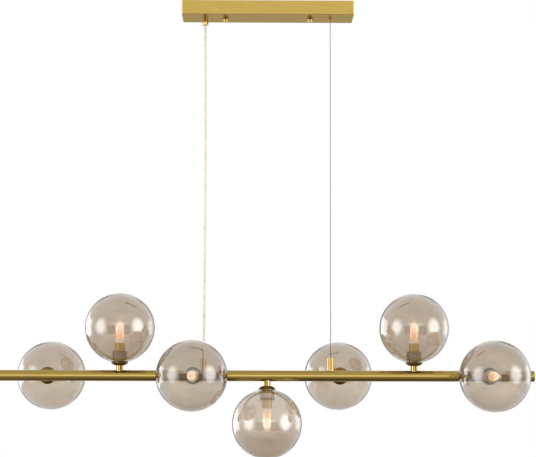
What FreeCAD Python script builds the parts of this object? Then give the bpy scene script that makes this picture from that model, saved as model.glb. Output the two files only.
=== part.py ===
import FreeCAD, Part
import math
import os

# Cluster pendant: a brass bar with seven smoked glass globes, hung from a ceiling canopy
# by a clear power cord and a steel wire. Millimetres, +Z up. The origin is the middle of
# the face that meets the ceiling, +X runs along the bar and the front is towards -Y.
# Lamps are built round their own axis, with z as the distance from the bar's axis, and
# are then aimed outwards from the bar, each a quarter turn on from the one before it.

# ---- driving sizes: suspension ----
drop = 756.0                  # ceiling to the bar's axis
suspension_spacing = 255.0    # between the cord and the wire
cord_diameter = 5.0
wire_diameter = 1.5
core_diameter = 2.2           # one insulated conductor of the cord
core_spacing = 2.4            # between the two conductors
lead_bend = 3.3               # radius at which a lead turns towards the terminals
lead_in = 0.6                 # how far a lead goes into the terminal block

# ---- driving sizes: canopy and its bracket ----
canopy_overhang = 46.5        # beyond the cord and beyond the wire
canopy_width = 80.0
canopy_height = 28.5
canopy_wall = 1.2
canopy_corner = 2.5           # radius of the upright edges
canopy_edge = 0.8             # radius of the lower edge
bracket_width = 25.0
bracket_thickness = 2.0
bracket_corner = 5.0
bracket_overhang = 30.0       # beyond each stud
stud_inset = 41.5             # from the cord or the wire to the nearest stud
stud_diameter = 4.0
screw_slot_spacing = 110.0    # ceiling screw slots, centre to centre
screw_slot_width = 5.5
screw_slot_length = 16.0
cap_nut_diameter = 11.5
cap_nut_height = 8.4
cap_nut_dome_diameter = 8.3
cap_nut_dome_round = 1.15
cap_nut_edge = 0.6
cap_nut_end = 1.7             # thickness of its closed end
stud_nut_flats = 7.0
stud_nut_height = 3.2
terminal_size = (14.0, 30.0, 12.0)
terminal_pitch = 9.5          # between the wire entries
terminal_entry = 4.0          # side of a square wire entry
terminal_screw_depth = 2.0    # how far a screw's well goes in
terminal_from_stud = 18.0     # to the middle of the terminal block
earth_from_stud = 14.0        # to the earth screw
earth_head_diameter = 8.0
earth_head_height = 3.0

# ---- driving sizes: cord gland and wire gripper ----
gland_spigot_diameter = 9.6   # the threaded part that passes through the canopy
gland_spigot_length = 11.0
gland_body_diameter = 10.6
gland_body_length = 10.0
gland_cap_diameter = 12.6
gland_cap_length = 5.0
gland_cap_edge = 1.25
gland_nut_flats = 14.0
gland_nut_height = 3.0
gripper_flange_diameter = 10.6
gripper_flange_height = 2.4
gripper_spigot_length = 17.0
plunger_diameter = 6.0
plunger_length = 12.0
plunger_edge = 0.6
plunger_travel = 1.8
plunger_reach = 2.2           # how far it stands out of the flange
wire_tail = 3.0               # the wire stands this far out of the gripper's top

# ---- driving sizes: bar ----
tube_diameter = 22.0
tube_wall = 1.5
tube_length = 1068.0
end_cap_thickness = 2.0
end_cap_edge = 0.5
end_plug_length = 12.0
barrel_base_diameter = 12.6
barrel_base_height = 9.5
barrel_spigot_diameter = 8.0
barrel_spigot_height = 5.2    # above the base, inside the cap
barrel_cap_diameter = 13.2
barrel_cap_height = 15.5
barrel_cap_roof = 3.0
barrel_bevel = 0.75
clamp_diameter = 8.0
ferrule_diameter = 4.8
ferrule_length = 6.0
ferrule_beyond_wire = 1.2
boss_depth = 4.0              # how far a tapped boss stands inside the tube
boss_wall = 1.5

# ---- driving sizes: lamps ----
lamp_count = 7
lamp_pitch = 147.5
quarter_turn = 90.0           # each lamp is aimed this much further round the bar
stem_diameter = 14.0
stem_length = 9.0
nipple_diameter = 10.0
nipple_bore = 7.0
nipple_inner_end = 2.75       # from the bar's axis
nut_flats = 13.0
nut_height = 3.0
nipple_beyond_nut = 2.0
dish_diameter = 35.0
dish_wall = 1.2
dish_rise = 5.8               # from the dish's back to its rim
dish_bulge = 0.8              # how far the flared part bows out
dish_back_diameter = 18.0     # the flat part of the back
shell_lift = 3.6              # from the dish's floor to the shell's flange
shell_flange_diameter = 29.0
shell_flange_height = 1.0
shell_length = 21.0
sleeve_diameter = 21.0
sleeve_wall = 1.2
sleeve_floor = 1.5
sleeve_length = 43.8
sleeve_edge = 0.4
sleeve_foot_diameter = 16.8   # the narrow foot that sits in the dish
sleeve_foot_height = 2.4
washer_thickness = 1.0
lead_diameter = 1.6
lead_spacing = 3.4

# ---- driving sizes: globes and bulbs ----
globe_diameter = 140.0
globe_wall = 2.5
neck_bore = 25.4
neck_wall = 2.3
neck_depth = 22.0
holder_length = 31.5
holder_slot = (15.0, 8.4, 10.5)    # along the pins' line, across it, deep
pin_spacing = 9.0
pin_size = (3.4, 0.8, 6.5)
pin_pocket = (4.4, 1.8, 7.2)
blade_size = (14.0, 7.4)
bulb_collar_diameter = 17.8
bulb_collar_length = 13.7
bulb_diameter = 16.8
bulb_wall = 1.0
bulb_straight = 20.0          # the cylindrical part of the envelope
bulb_taper = 14.0             # the part that draws in to the tip
bulb_shoulder = (13.1, 8.7)   # diameter of the taper, and how far up it has that
bulb_tip_diameter = 4.4
bulb_tip_length = 4.0

# ---- clearances ----
seat_gap = 0.3                # under a piece that lifts off
thread_gap = 0.3              # round a screwed glass neck
slip_fit = 0.1                # radial, round a piece that passes through a hole
running_fit = 0.08            # radial, round the plunger
bed_gap = 0.05                # under a piece that is bedded on a curved face

# ---- places worked out from the sizes ----
sides = (-1, 1)
bar_height = -drop
tube_radius = tube_diameter / 2
tube_bore_radius = tube_radius - tube_wall
boss_low = tube_bore_radius - boss_depth
canopy_underside = -canopy_height
canopy_floor = canopy_underside + canopy_wall
canopy_length = suspension_spacing + 2 * canopy_overhang
stud_spacing = suspension_spacing - 2 * stud_inset
bracket_length = stud_spacing + 2 * bracket_overhang
stud_places = [side * stud_spacing / 2 for side in sides]
stud_bore = stud_diameter + 2 * bed_gap
cap_nut_bottom = canopy_underside - cap_nut_height
cap_nut_bore_end = cap_nut_bottom + cap_nut_end
terminal_x = -stud_spacing / 2 - terminal_from_stud
earth_screw_place = stud_spacing / 2 + earth_from_stud
terminal_bottom = -bracket_thickness - terminal_size[2]
lead_height = -bracket_thickness - terminal_size[2] / 2
gland_x = -suspension_spacing / 2
gripper_x = suspension_spacing / 2
gland_top = canopy_underside + gland_spigot_length
gland_body_bottom = canopy_underside - gland_body_length
cord_hole = cord_diameter + 2 * slip_fit
wire_hole = wire_diameter + 2 * slip_fit
cord_top = gland_top - cord_diameter / 2
gripper_top = canopy_underside + gripper_spigot_length
plunger_low = canopy_underside - gripper_flange_height - plunger_reach
plunger_top = plunger_low + plunger_length
gripper_bore_top = plunger_top + plunger_travel + seat_gap
barrel_seat = tube_radius + barrel_base_height
barrel_top = barrel_seat + barrel_cap_height
barrel_roof = barrel_top - barrel_cap_roof
ferrule_low = barrel_roof - ferrule_length
dish_back = tube_radius + stem_length
dish_floor = dish_back + dish_wall
shell_low = dish_floor + shell_lift
washer_seat = shell_low + shell_flange_height
mouth = washer_seat + washer_thickness + seat_gap
neck_radius = neck_bore / 2 + neck_wall
globe_radius = globe_diameter / 2
globe_centre = mouth + math.sqrt(globe_radius ** 2 - neck_radius ** 2)
shell_radius = neck_bore / 2 - thread_gap
sleeve_radius = sleeve_diameter / 2
sleeve_bore_radius = sleeve_radius - sleeve_wall
nut_seat = dish_floor + sleeve_floor
nipple_hole = nipple_diameter + 2 * slip_fit
nipple_end = nut_seat + nut_height + nipple_beyond_nut
holder_bottom = nipple_end + seat_gap
holder_top = holder_bottom + holder_length
slot_bottom = holder_top - holder_slot[2]
blade_low = slot_bottom + seat_gap
collar_bottom = holder_top + seat_gap
collar_top = collar_bottom + bulb_collar_length


# ---- shapes ----
def rod(diameter, low, high, x=0.0, y=0.0):
    """An upright cylinder between two heights."""
    return Part.makeCylinder(diameter / 2, high - low, FreeCAD.Vector(x, y, low))


def pipe(diameter, bore, low, high, x=0.0):
    """An upright tube between two heights."""
    return rod(diameter, low, high, x).cut(rod(bore, low, high, x))


def block(size, low, x=0.0, y=0.0):
    """A box that stands on the height low, centred on x and y."""
    corner = FreeCAD.Vector(x - size[0] / 2, y - size[1] / 2, low)
    return Part.makeBox(size[0], size[1], size[2], corner)


def level_rod(diameter, left, right, y=0.0, z=0.0):
    """A cylinder that lies along X."""
    start, along = FreeCAD.Vector(left, y, z), FreeCAD.Vector(1, 0, 0)
    return Part.makeCylinder(diameter / 2, right - left, start, along)


def turned(outline):
    """A solid of revolution round Z. The outline's corners are (radius, height); a corner
    with four numbers is reached by an arc through its first two."""
    edges = []
    here = outline[0][-2:]
    for corner in outline[1:] + outline[:1]:
        there = corner[-2:]
        a, b = [FreeCAD.Vector(p[0], 0, p[1]) for p in (here, there)]
        if len(corner) == 4:
            edges.append(Part.Arc(a, FreeCAD.Vector(corner[0], 0, corner[1]), b).toShape())
        else:
            edges.append(Part.LineSegment(a, b).toShape())
        here = there
    face = Part.Face(Part.Wire(edges))
    return face.revolve(FreeCAD.Vector(0, 0, 0), FreeCAD.Vector(0, 0, 1), 360)


def rounded_corner(edge, across, up):
    """An outline's quarter-round corner that ends level with across at the height up."""
    bend = math.radians(45)
    return (across - edge + edge * math.cos(bend), up - edge * math.sin(bend), across, up)


def rounded_slab(length, width, corner, low, high):
    """A slab with rounded upright edges, centred on Z."""
    slab = block((length, width, high - low), low)
    upright = [e for e in slab.Edges if e.BoundBox.ZLength > (high - low) / 2]
    return slab.makeFillet(corner, upright)


def slot(length, width, low, high, x=0.0):
    """A round-ended slot's space, lying along X."""
    half = (length - width) / 2
    middle = block((length - width, width, high - low), low, x)
    return middle.fuse([rod(width, low, high, x + side * half) for side in sides])


def hex_nut(flats, bore, low, high, x=0.0):
    """An upright six-sided nut with a plain bore."""
    across = flats / math.sqrt(3)
    corners = [FreeCAD.Vector(x + across * math.cos(math.radians(60 * i)),
                              across * math.sin(math.radians(60 * i)), low) for i in range(7)]
    prism = Part.Face(Part.makePolygon(corners)).extrude(FreeCAD.Vector(0, 0, high - low))
    return prism.cut(rod(bore, low, high, x))


def moved(shape, x, z=0.0):
    """A copy of a shape, moved along X and Z."""
    placed = shape.copy()
    placed.translate(FreeCAD.Vector(x, 0, z))
    return placed


def at_bar(shape, x):
    """Moves an upright shape, built from the bar's axis, to its place on the bar."""
    return moved(shape, x, bar_height)


def aimed(shape, number):
    """Turns a lamp's piece round the bar and moves it to its place. The first lamp is
    aimed back, the second up, the third to the front and the fourth down."""
    placed = shape.copy()
    placed.rotate(FreeCAD.Vector(0, 0, 0), FreeCAD.Vector(1, 0, 0), quarter_turn * (number - 1))
    return at_bar(placed, lamp_pitch * (number - (lamp_count - 1) / 2))


def at_each_lamp(shape):
    """One separate solid of a lamp's piece at every lamp."""
    return Part.makeCompound([aimed(shape, number) for number in range(lamp_count)])


def tapped_boss(bore):
    """A bush brazed inside the tube's wall, with its outer end hollowed to the wall."""
    diameter = bore + 2 * boss_wall
    blank = pipe(diameter, bore + 2 * bed_gap, boss_low, tube_radius)
    return blank.common(level_rod(2 * (tube_bore_radius - bed_gap), -diameter, diameter))


def saddled(shape, diameter):
    """A piece that stands on the tube, with its foot hollowed to sit on it."""
    return shape.cut(level_rod(tube_diameter + 2 * bed_gap, -diameter, diameter))


# ---- canopy ----
def canopy_cover():
    """The canopy's sheet metal box, open towards the ceiling, with its four holes."""
    outer = rounded_slab(canopy_length, canopy_width, canopy_corner, canopy_underside, 0)
    rim = [e for e in outer.Edges if e.BoundBox.ZMax < canopy_underside + canopy_edge / 2]
    outer = outer.makeFillet(canopy_edge, rim)
    inner = rounded_slab(canopy_length - 2 * canopy_wall, canopy_width - 2 * canopy_wall,
                         canopy_corner - canopy_wall, canopy_floor, canopy_wall)
    holes = [rod(gland_spigot_diameter + 2 * slip_fit, canopy_underside, canopy_floor, x)
             for x in (gland_x, gripper_x)]
    holes += [rod(stud_diameter + 2 * slip_fit, canopy_underside, canopy_floor, x)
              for x in stud_places]
    return outer.cut([inner] + holes)


def ceiling_bracket():
    """The strap that is screwed to the ceiling through its two slots."""
    low, high = -bracket_thickness, 0
    strap = rounded_slab(bracket_length, bracket_width, bracket_corner, low, high)
    holes = [slot(screw_slot_length, screw_slot_width, low, high, side * screw_slot_spacing / 2)
             for side in sides]
    holes += [rod(stud_bore, low, high, x) for x in stud_places + [earth_screw_place]]
    return strap.cut(holes)


def bracket_studs():
    """Two studs pressed into the bracket, long enough to reach into the cap nuts."""
    return Part.makeCompound([rod(stud_diameter, cap_nut_bore_end + seat_gap, 0, x)
                              for x in stud_places])


def stud_lock_nuts():
    """The nuts that lock the studs under the bracket."""
    low, high = -bracket_thickness - stud_nut_height, -bracket_thickness
    return Part.makeCompound([hex_nut(stud_nut_flats, stud_bore, low, high, x)
                              for x in stud_places])


def cap_nuts():
    """Round nuts with a wide grip and a narrower domed end, blind inside."""
    grip, dome, bore = cap_nut_diameter / 2, cap_nut_dome_diameter / 2, stud_bore / 2
    step, low, edge = canopy_underside - cap_nut_height / 2, cap_nut_bottom, cap_nut_edge
    nut = turned([(0, low), (dome - cap_nut_dome_round, low),
                  rounded_corner(cap_nut_dome_round, dome, low + cap_nut_dome_round),
                  (dome, step), (grip - edge, step), (grip, step + edge),
                  (grip, canopy_underside - edge), (grip - edge, canopy_underside),
                  (bore, canopy_underside), (bore, cap_nut_bore_end), (0, cap_nut_bore_end)])
    return Part.makeCompound([moved(nut, x) for x in stud_places])


def terminal_block():
    """A three-way terminal block with square wire entries and round screw wells."""
    body = block(terminal_size, terminal_bottom, terminal_x)
    entry = (terminal_size[0], terminal_entry, terminal_entry)
    spaces = []
    for way in (-1, 0, 1):
        y = way * terminal_pitch
        spaces.append(block(entry, lead_height - terminal_entry / 2, terminal_x, y))
        spaces.append(rod(terminal_entry, terminal_bottom,
                          terminal_bottom + terminal_screw_depth, terminal_x, y))
    return body.cut(spaces)


def earth_screw():
    """The earth screw, whose shank goes through the bracket."""
    low, high = -bracket_thickness - earth_head_height, -bracket_thickness
    head = rod(earth_head_diameter, low, high, earth_screw_place)
    return head.fuse(rod(stud_diameter, high, 0, earth_screw_place))


def canopy_leads():
    """The cord's two cores, bared above the gland and led into the terminal block."""
    leads = []
    end_x = terminal_x - terminal_size[0] / 2 + lead_in
    down = FreeCAD.Vector(0, 0, -1)
    for side in sides:
        start = FreeCAD.Vector(gland_x, side * core_spacing / 2, cord_top)
        corner = FreeCAD.Vector(start.x, start.y, lead_height)
        end = FreeCAD.Vector(end_x, side * terminal_pitch, lead_height)
        outward = (end - corner).normalize()
        before, after = corner + down * lead_bend, corner + outward * lead_bend
        middle = corner + (outward + down) * lead_bend * (1 - math.sqrt(0.5))
        path = Part.Wire([Part.LineSegment(start, before).toShape(),
                          Part.Arc(before, middle, after).toShape(),
                          Part.LineSegment(after, end).toShape()])
        ring = Part.Wire(Part.Circle(start, down, core_diameter / 2).toShape())
        leads.append(path.makePipeShell([ring], True, False))
    return Part.makeCompound(leads)


# ---- cord gland and wire gripper ----
def gland_body():
    """The gland's barrel below the canopy, and the spigot through it."""
    body = rod(gland_body_diameter, gland_body_bottom, canopy_underside, gland_x)
    spigot = rod(gland_spigot_diameter, canopy_underside, gland_top, gland_x)
    return body.fuse(spigot).cut(rod(cord_hole, gland_body_bottom, gland_top, gland_x))


def gland_cap():
    """The gland's clamping ring, with a rounded lower edge."""
    low, radius = gland_body_bottom - gland_cap_length, gland_cap_diameter / 2
    ring = turned([(cord_hole / 2, low), (radius - gland_cap_edge, low),
                   rounded_corner(gland_cap_edge, radius, low + gland_cap_edge),
                   (radius, gland_body_bottom), (cord_hole / 2, gland_body_bottom)])
    return moved(ring, gland_x)


def lock_nut(x):
    """The flat nut inside the canopy, on the gland's or the gripper's spigot."""
    bore = gland_spigot_diameter + 2 * bed_gap
    return hex_nut(gland_nut_flats, bore, canopy_floor, canopy_floor + gland_nut_height, x)


def wire_gripper():
    """A flanged body with a bore for the plunger and a narrow hole for the wire."""
    low = canopy_underside - gripper_flange_height
    flange = rod(gripper_flange_diameter, low, canopy_underside, gripper_x)
    spigot = rod(gland_spigot_diameter, canopy_underside, gripper_top, gripper_x)
    bore = rod(plunger_diameter + 2 * running_fit, low, gripper_bore_top, gripper_x)
    return flange.fuse(spigot).cut([bore, rod(wire_hole, low, gripper_top, gripper_x)])


def gripper_plunger():
    """The sleeve that is pressed up to let the wire run through the gripper."""
    radius, bore = plunger_diameter / 2, wire_hole / 2
    sleeve = turned([(bore, plunger_low), (radius - plunger_edge, plunger_low),
                     rounded_corner(plunger_edge, radius, plunger_low + plunger_edge),
                     (radius, plunger_top), (bore, plunger_top)])
    return moved(sleeve, gripper_x)


def steel_wire():
    """The wire, pulled straight between the gripper and its ferrule in the barrel."""
    end = bar_height + ferrule_low + ferrule_beyond_wire
    return rod(wire_diameter, end, gripper_top + wire_tail, gripper_x)


def power_cord():
    """The clear cord, pulled straight between the gland and the inside of the tube."""
    return rod(cord_diameter, bar_height + boss_low, cord_top, gland_x)


# ---- bar ----
def bar_tube():
    """The long tube, with a hole for each nipple and for the two barrels."""
    half = tube_length / 2
    walls = level_rod(tube_diameter, -half, half, 0, bar_height)
    bore = level_rod(2 * tube_bore_radius, -half, half, 0, bar_height)
    holes = [aimed(rod(nipple_hole, tube_wall, tube_diameter), number)
             for number in range(lamp_count)]
    holes += [at_bar(rod(barrel_spigot_diameter + 2 * slip_fit, tube_wall, tube_diameter), x)
              for x in (gland_x, gripper_x)]
    return walls.cut([bore] + holes)


def end_cap(side):
    """A cap with a plug that slips into the tube and a softly broken outer edge."""
    plug, radius = tube_bore_radius - bed_gap, tube_radius
    cap = turned([(0, -end_plug_length), (plug, -end_plug_length), (plug, 0), (radius, 0),
                  (radius, end_cap_thickness - end_cap_edge),
                  (radius - end_cap_edge, end_cap_thickness), (0, end_cap_thickness)])
    cap.rotate(FreeCAD.Vector(0, 0, 0), FreeCAD.Vector(0, 1, 0), side * 90)
    return at_bar(cap, side * tube_length / 2)


def barrel_base(bore):
    """The lower half of a suspension barrel, screwed into the tube."""
    collar = saddled(rod(barrel_base_diameter, 0, barrel_seat), barrel_base_diameter)
    spigot = rod(barrel_spigot_diameter, boss_low, barrel_seat + barrel_spigot_height)
    return collar.fuse(spigot).cut(rod(bore, 0, barrel_top))


def barrel_cap(bore):
    """The upper half of a suspension barrel, with a bevelled top."""
    radius, cavity = barrel_cap_diameter / 2, barrel_spigot_diameter / 2 + slip_fit
    return turned([(cavity, barrel_seat), (radius, barrel_seat),
                   (radius, barrel_top - barrel_bevel), (radius - barrel_bevel, barrel_top),
                   (bore / 2, barrel_top), (bore / 2, barrel_roof), (cavity, barrel_roof)])


def bar_wiring():
    """Two conductors along the middle of the tube, past every lamp."""
    half = lamp_pitch * (lamp_count - 1) / 2 + nipple_diameter
    return Part.makeCompound([level_rod(core_diameter, -half, half, side * core_spacing / 2,
                                        bar_height) for side in sides])


# ---- lamp fittings ----
def stem_sleeve():
    """The short polished sleeve between the tube and a dish."""
    return saddled(pipe(stem_diameter, nipple_hole, 0, dish_back), stem_diameter)


def lamp_lead_pair():
    """A lamp's two leads, up through its nipple to the holder."""
    return Part.makeCompound([rod(lead_diameter, nipple_inner_end, holder_bottom,
                                  side * lead_spacing / 2) for side in sides])


def globe_dish():
    """The shallow dish behind a globe: a flat back that curves out to a thin rim."""
    back, rim, rise = dish_back_diameter / 2, dish_diameter / 2, dish_rise
    flare = math.hypot(rim - back, rise)
    across, up = rise / flare, (rim - back) / flare
    outer_middle = ((back + rim) / 2 + dish_bulge * across, dish_back + rise / 2 - dish_bulge * up)
    inner_middle = (outer_middle[0] - dish_wall * across, outer_middle[1] + dish_wall * up)
    inner_rim = (rim - dish_wall * across, dish_back + rise + dish_wall * up)
    inner_back = back - dish_wall * across / (1 + up)
    return turned([(nipple_hole / 2, dish_back), (back, dish_back),
                   outer_middle + (rim, dish_back + rise), inner_rim,
                   inner_middle + (inner_back, dish_floor), (nipple_hole / 2, dish_floor)])


def threaded_shell():
    """The collar that a globe's neck screws on, with a flange under the globe's mouth."""
    bore, flange, top = sleeve_radius + bed_gap, shell_flange_diameter / 2, shell_low + shell_length
    return turned([(bore, shell_low), (flange, shell_low), (flange, washer_seat),
                   (shell_radius, washer_seat), (shell_radius, top), (bore, top)])


def holder_sleeve():
    """The brass cup round the lampholder, with a narrow foot and a bevelled top edge."""
    hole, foot, top = nipple_hole / 2, sleeve_foot_diameter / 2, dish_floor + sleeve_length
    return turned([(hole, dish_floor), (foot, dish_floor),
                   (sleeve_radius, dish_floor + sleeve_foot_height),
                   (sleeve_radius, top - sleeve_edge), (sleeve_radius - sleeve_edge, top),
                   (sleeve_bore_radius, top),
                   (sleeve_bore_radius, nut_seat + sleeve_foot_height / 2),
                   (foot - sleeve_edge, nut_seat), (hole, nut_seat)])


def lampholder():
    """A ceramic body with a slot for the bulb's blade and two pockets for its pins."""
    body = rod(2 * (sleeve_bore_radius - slip_fit), holder_bottom, holder_top)
    pockets = [block(pin_pocket, slot_bottom - pin_pocket[2], side * pin_spacing / 2)
               for side in sides]
    return body.cut([block(holder_slot, slot_bottom)] + pockets)


# ---- globes and bulbs ----
def globe():
    """A blown sphere whose mouth turns inwards into a neck."""
    inner_radius = globe_radius - globe_wall
    root = globe_centre - math.sqrt(inner_radius ** 2 - neck_radius ** 2)
    end, bore, lip = mouth + neck_depth, neck_bore / 2, neck_wall / 2
    return turned([(neck_radius, mouth),
                   (globe_radius, globe_centre, 0, globe_centre + globe_radius),
                   (0, globe_centre + inner_radius),
                   (inner_radius, globe_centre, neck_radius, root),
                   (neck_radius, end - lip), (bore + lip, end, bore, end - lip), (bore, mouth)])


def bulb_glass():
    """A straight envelope, open where it is set in the collar, drawn in to a small tip."""
    radius, tip, inner = bulb_diameter / 2, bulb_tip_diameter / 2, bulb_diameter / 2 - bulb_wall
    shoulder = collar_top + bulb_straight
    neck = shoulder + bulb_taper
    end = neck + bulb_tip_length
    bulge = (bulb_shoulder[0] / 2, shoulder + bulb_shoulder[1])
    inner_bulge = (bulge[0] - bulb_wall, bulge[1])
    tip_round = (tip * math.cos(math.pi / 4), end - tip + tip * math.sin(math.pi / 4))
    return turned([(radius, collar_top), (radius, shoulder), bulge + (tip, neck),
                   (tip, end - tip), tip_round + (0, end), (0, neck - bulb_wall),
                   inner_bulge + (inner, shoulder), (inner, collar_top)])


def bulb_base():
    """The bulb's round collar and flat blade, with its two pins as separate solids."""
    blade = block(blade_size + (collar_bottom - blade_low,), blade_low)
    body = rod(bulb_collar_diameter, collar_bottom, collar_top).fuse(blade)
    pins = [block(pin_size, blade_low - pin_size[2], side * pin_spacing / 2) for side in sides]
    return Part.makeCompound([body] + pins)


# ---- all pieces by name ----
pieces = {
    "canopy_cover": canopy_cover(),
    "ceiling_bracket": ceiling_bracket(),
    "bracket_studs": bracket_studs(),
    "stud_lock_nuts": stud_lock_nuts(),
    "knurled_cap_nuts": cap_nuts(),
    "terminal_block": terminal_block(),
    "earth_screw": earth_screw(),
    "canopy_leads": canopy_leads(),
    "gland_body": gland_body(),
    "gland_cap": gland_cap(),
    "gland_lock_nut": lock_nut(gland_x),
    "wire_gripper": wire_gripper(),
    "gripper_lock_nut": lock_nut(gripper_x),
    "gripper_plunger": gripper_plunger(),
    "steel_wire": steel_wire(),
    "power_cord": power_cord(),
    "bar_tube": bar_tube(),
    "end_cap_left": end_cap(-1),
    "end_cap_right": end_cap(1),
    "cord_barrel_base": at_bar(barrel_base(cord_hole), gland_x),
    "cord_barrel_cap": at_bar(barrel_cap(cord_hole), gland_x),
    "cord_clamp": at_bar(pipe(clamp_diameter, cord_hole, ferrule_low, barrel_roof), gland_x),
    "wire_barrel_base": at_bar(barrel_base(wire_hole), gripper_x),
    "wire_barrel_cap": at_bar(barrel_cap(wire_hole), gripper_x),
    "wire_ferrule": at_bar(pipe(ferrule_diameter, wire_hole, ferrule_low, barrel_roof),
                           gripper_x),
    "barrel_bosses": Part.makeCompound([at_bar(tapped_boss(barrel_spigot_diameter), x)
                                        for x in (gland_x, gripper_x)]),
    "bar_wiring": bar_wiring(),
    "lamp_leads": at_each_lamp(lamp_lead_pair()),
    "tube_bosses": at_each_lamp(tapped_boss(nipple_diameter)),
    "stem_sleeves": at_each_lamp(stem_sleeve()),
    "hollow_nipples": at_each_lamp(pipe(nipple_diameter, nipple_bore, nipple_inner_end,
                                        nipple_end)),
    "globe_dishes": at_each_lamp(globe_dish()),
    "threaded_shells": at_each_lamp(threaded_shell()),
    "holder_sleeves": at_each_lamp(holder_sleeve()),
    "nipple_nuts": at_each_lamp(hex_nut(nut_flats, nipple_diameter + 2 * bed_gap, nut_seat,
                                        nut_seat + nut_height)),
    "silicone_washers": at_each_lamp(pipe(shell_flange_diameter, 2 * (shell_radius + slip_fit),
                                          washer_seat, washer_seat + washer_thickness)),
    "lampholders": at_each_lamp(lampholder()),
}
for number in range(lamp_count):
    pieces[f"globe_{number + 1}"] = aimed(globe(), number)
    pieces[f"bulb_glass_{number + 1}"] = aimed(bulb_glass(), number)
    pieces[f"bulb_base_{number + 1}"] = aimed(bulb_base(), number)

os.makedirs("parts", exist_ok=True)
for name, shape in pieces.items():
    if not shape.isValid() or any(solid.Volume <= 0 for solid in shape.Solids):
        raise ValueError(f"{name} is not a sound solid")
    shape.exportStep(f"parts/{name}.step")
    print(f"{name}: {len(shape.Solids)} solids, {shape.Volume / 1000:.2f} cm3")
print(f"{len(pieces)} nodes; globe centre {globe_centre:.2f} from the bar's axis")
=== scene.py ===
import logging
import math
from dataclasses import dataclass, field
from enum import Enum
from typing import Callable, Sequence

import bmesh
import bpy
from mathutils import Matrix, Vector


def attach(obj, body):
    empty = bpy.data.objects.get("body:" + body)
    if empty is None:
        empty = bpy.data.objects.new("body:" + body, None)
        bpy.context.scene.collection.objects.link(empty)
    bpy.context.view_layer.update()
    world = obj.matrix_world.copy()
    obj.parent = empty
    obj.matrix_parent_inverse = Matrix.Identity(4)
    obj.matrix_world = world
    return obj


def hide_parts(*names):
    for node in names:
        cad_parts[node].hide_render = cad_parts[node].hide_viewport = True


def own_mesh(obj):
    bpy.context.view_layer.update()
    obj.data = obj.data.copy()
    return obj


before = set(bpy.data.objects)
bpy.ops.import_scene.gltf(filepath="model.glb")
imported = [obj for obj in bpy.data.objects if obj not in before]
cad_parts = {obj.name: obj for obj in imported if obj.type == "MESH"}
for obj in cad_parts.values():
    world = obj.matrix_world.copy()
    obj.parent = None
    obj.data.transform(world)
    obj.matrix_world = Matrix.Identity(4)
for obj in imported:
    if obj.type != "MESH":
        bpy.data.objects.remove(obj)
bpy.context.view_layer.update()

# Linear pendant: a brass bar with seven smoked glass globes under a flat ceiling canopy.
# Metres, +Z up. The origin is the middle of the canopy's face on the ceiling, +X runs along
# the bar towards the steel wire, and the front is towards -Y. A lamp's pieces are modelled
# round +Z, with z as the distance from the bar's axis, and are then aimed as the lamp is.

log = logging.getLogger("pendant")

MM = 0.001                    # metres in a millimetre
DROP = 756 * MM               # ceiling to the bar's axis
LAMP_COUNT = 7
LAMP_PITCH = 147.5 * MM       # from lamp to lamp along the bar
CORD_X = -127.5 * MM          # the power cord's place along the bar
WIRE_X = 127.5 * MM           # the steel wire's
MERGE = 0.001 * MM            # corners nearer to each other than this are one
SMOOTH_ANGLE = math.radians(40)    # faces that meet at less than this are smoothed together
TUBE_ANGLE = math.radians(50)      # the same on a cord's jacket, whose faces are few
ROUTE_STEPS = 48              # points read along each stretch of a line's route
TURN_STEPS = 10               # points in one turn of a twisted strand
WHITE = "#FFFFFF"
STUDIO_BLUE = 0.985           # blue in the studio's light, against its red and green
SMOOTH = {"interpolation_type": "SMOOTHSTEP"}    # a Map Range with soft ends
COLOURS = {"data_type": "RGBA"}                  # a Mix of two colours

Rgba = tuple[float, float, float, float]
Point = tuple[float, float, float]
Outline = Sequence[tuple[float, float]]
Socket = bpy.types.NodeSocket
Piece = bpy.types.Object


class Grain(Enum):
    """The way that a metal's polishing lines run."""

    ALONG_X = (1, 0, 0)
    ALONG_Y = (0, 1, 0)
    ALONG_Z = (0, 0, 1)


class Ends(Enum):
    """What closes a turned shape at the two ends of its outline."""

    CAPPED = "flat faces"
    JOINED = "the outline's last point is its first"


# ---- node helpers ----
def linear(colour: str) -> Rgba:
    """Turns an sRGB hex colour into linear light.

    Args:
        colour: six hex digits after a hash sign.

    Returns:
        Red, green, blue and an alpha of 1.
    """
    parts = [int(colour[i:i + 2], 16) / 255 for i in (1, 3, 5)]
    red, green, blue = [p / 12.92 if p <= 0.04045 else ((p + 0.055) / 1.055) ** 2.4
                        for p in parts]
    return red, green, blue, 1.0


def add_node(tree: bpy.types.NodeTree, kind: str, settings: dict[str, object] | None = None,
             inputs: dict[str | int, object] | None = None) -> bpy.types.Node:
    """Adds a node with its settings and links.

    Args:
        tree: the node tree that gets it.
        kind: the node's type, such as ShaderNodeTexNoise.
        settings: the node's own properties.
        inputs: for each input, by name or number, a value or the socket that feeds it.

    Returns:
        The new node.
    """
    node = tree.nodes.new(kind)
    for name, value in (settings or {}).items():
        setattr(node, name, value)
    for key, value in (inputs or {}).items():
        if isinstance(value, bpy.types.NodeSocket):
            tree.links.new(value, node.inputs[key])
        else:
            node.inputs[key].default_value = value
    return node


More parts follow.
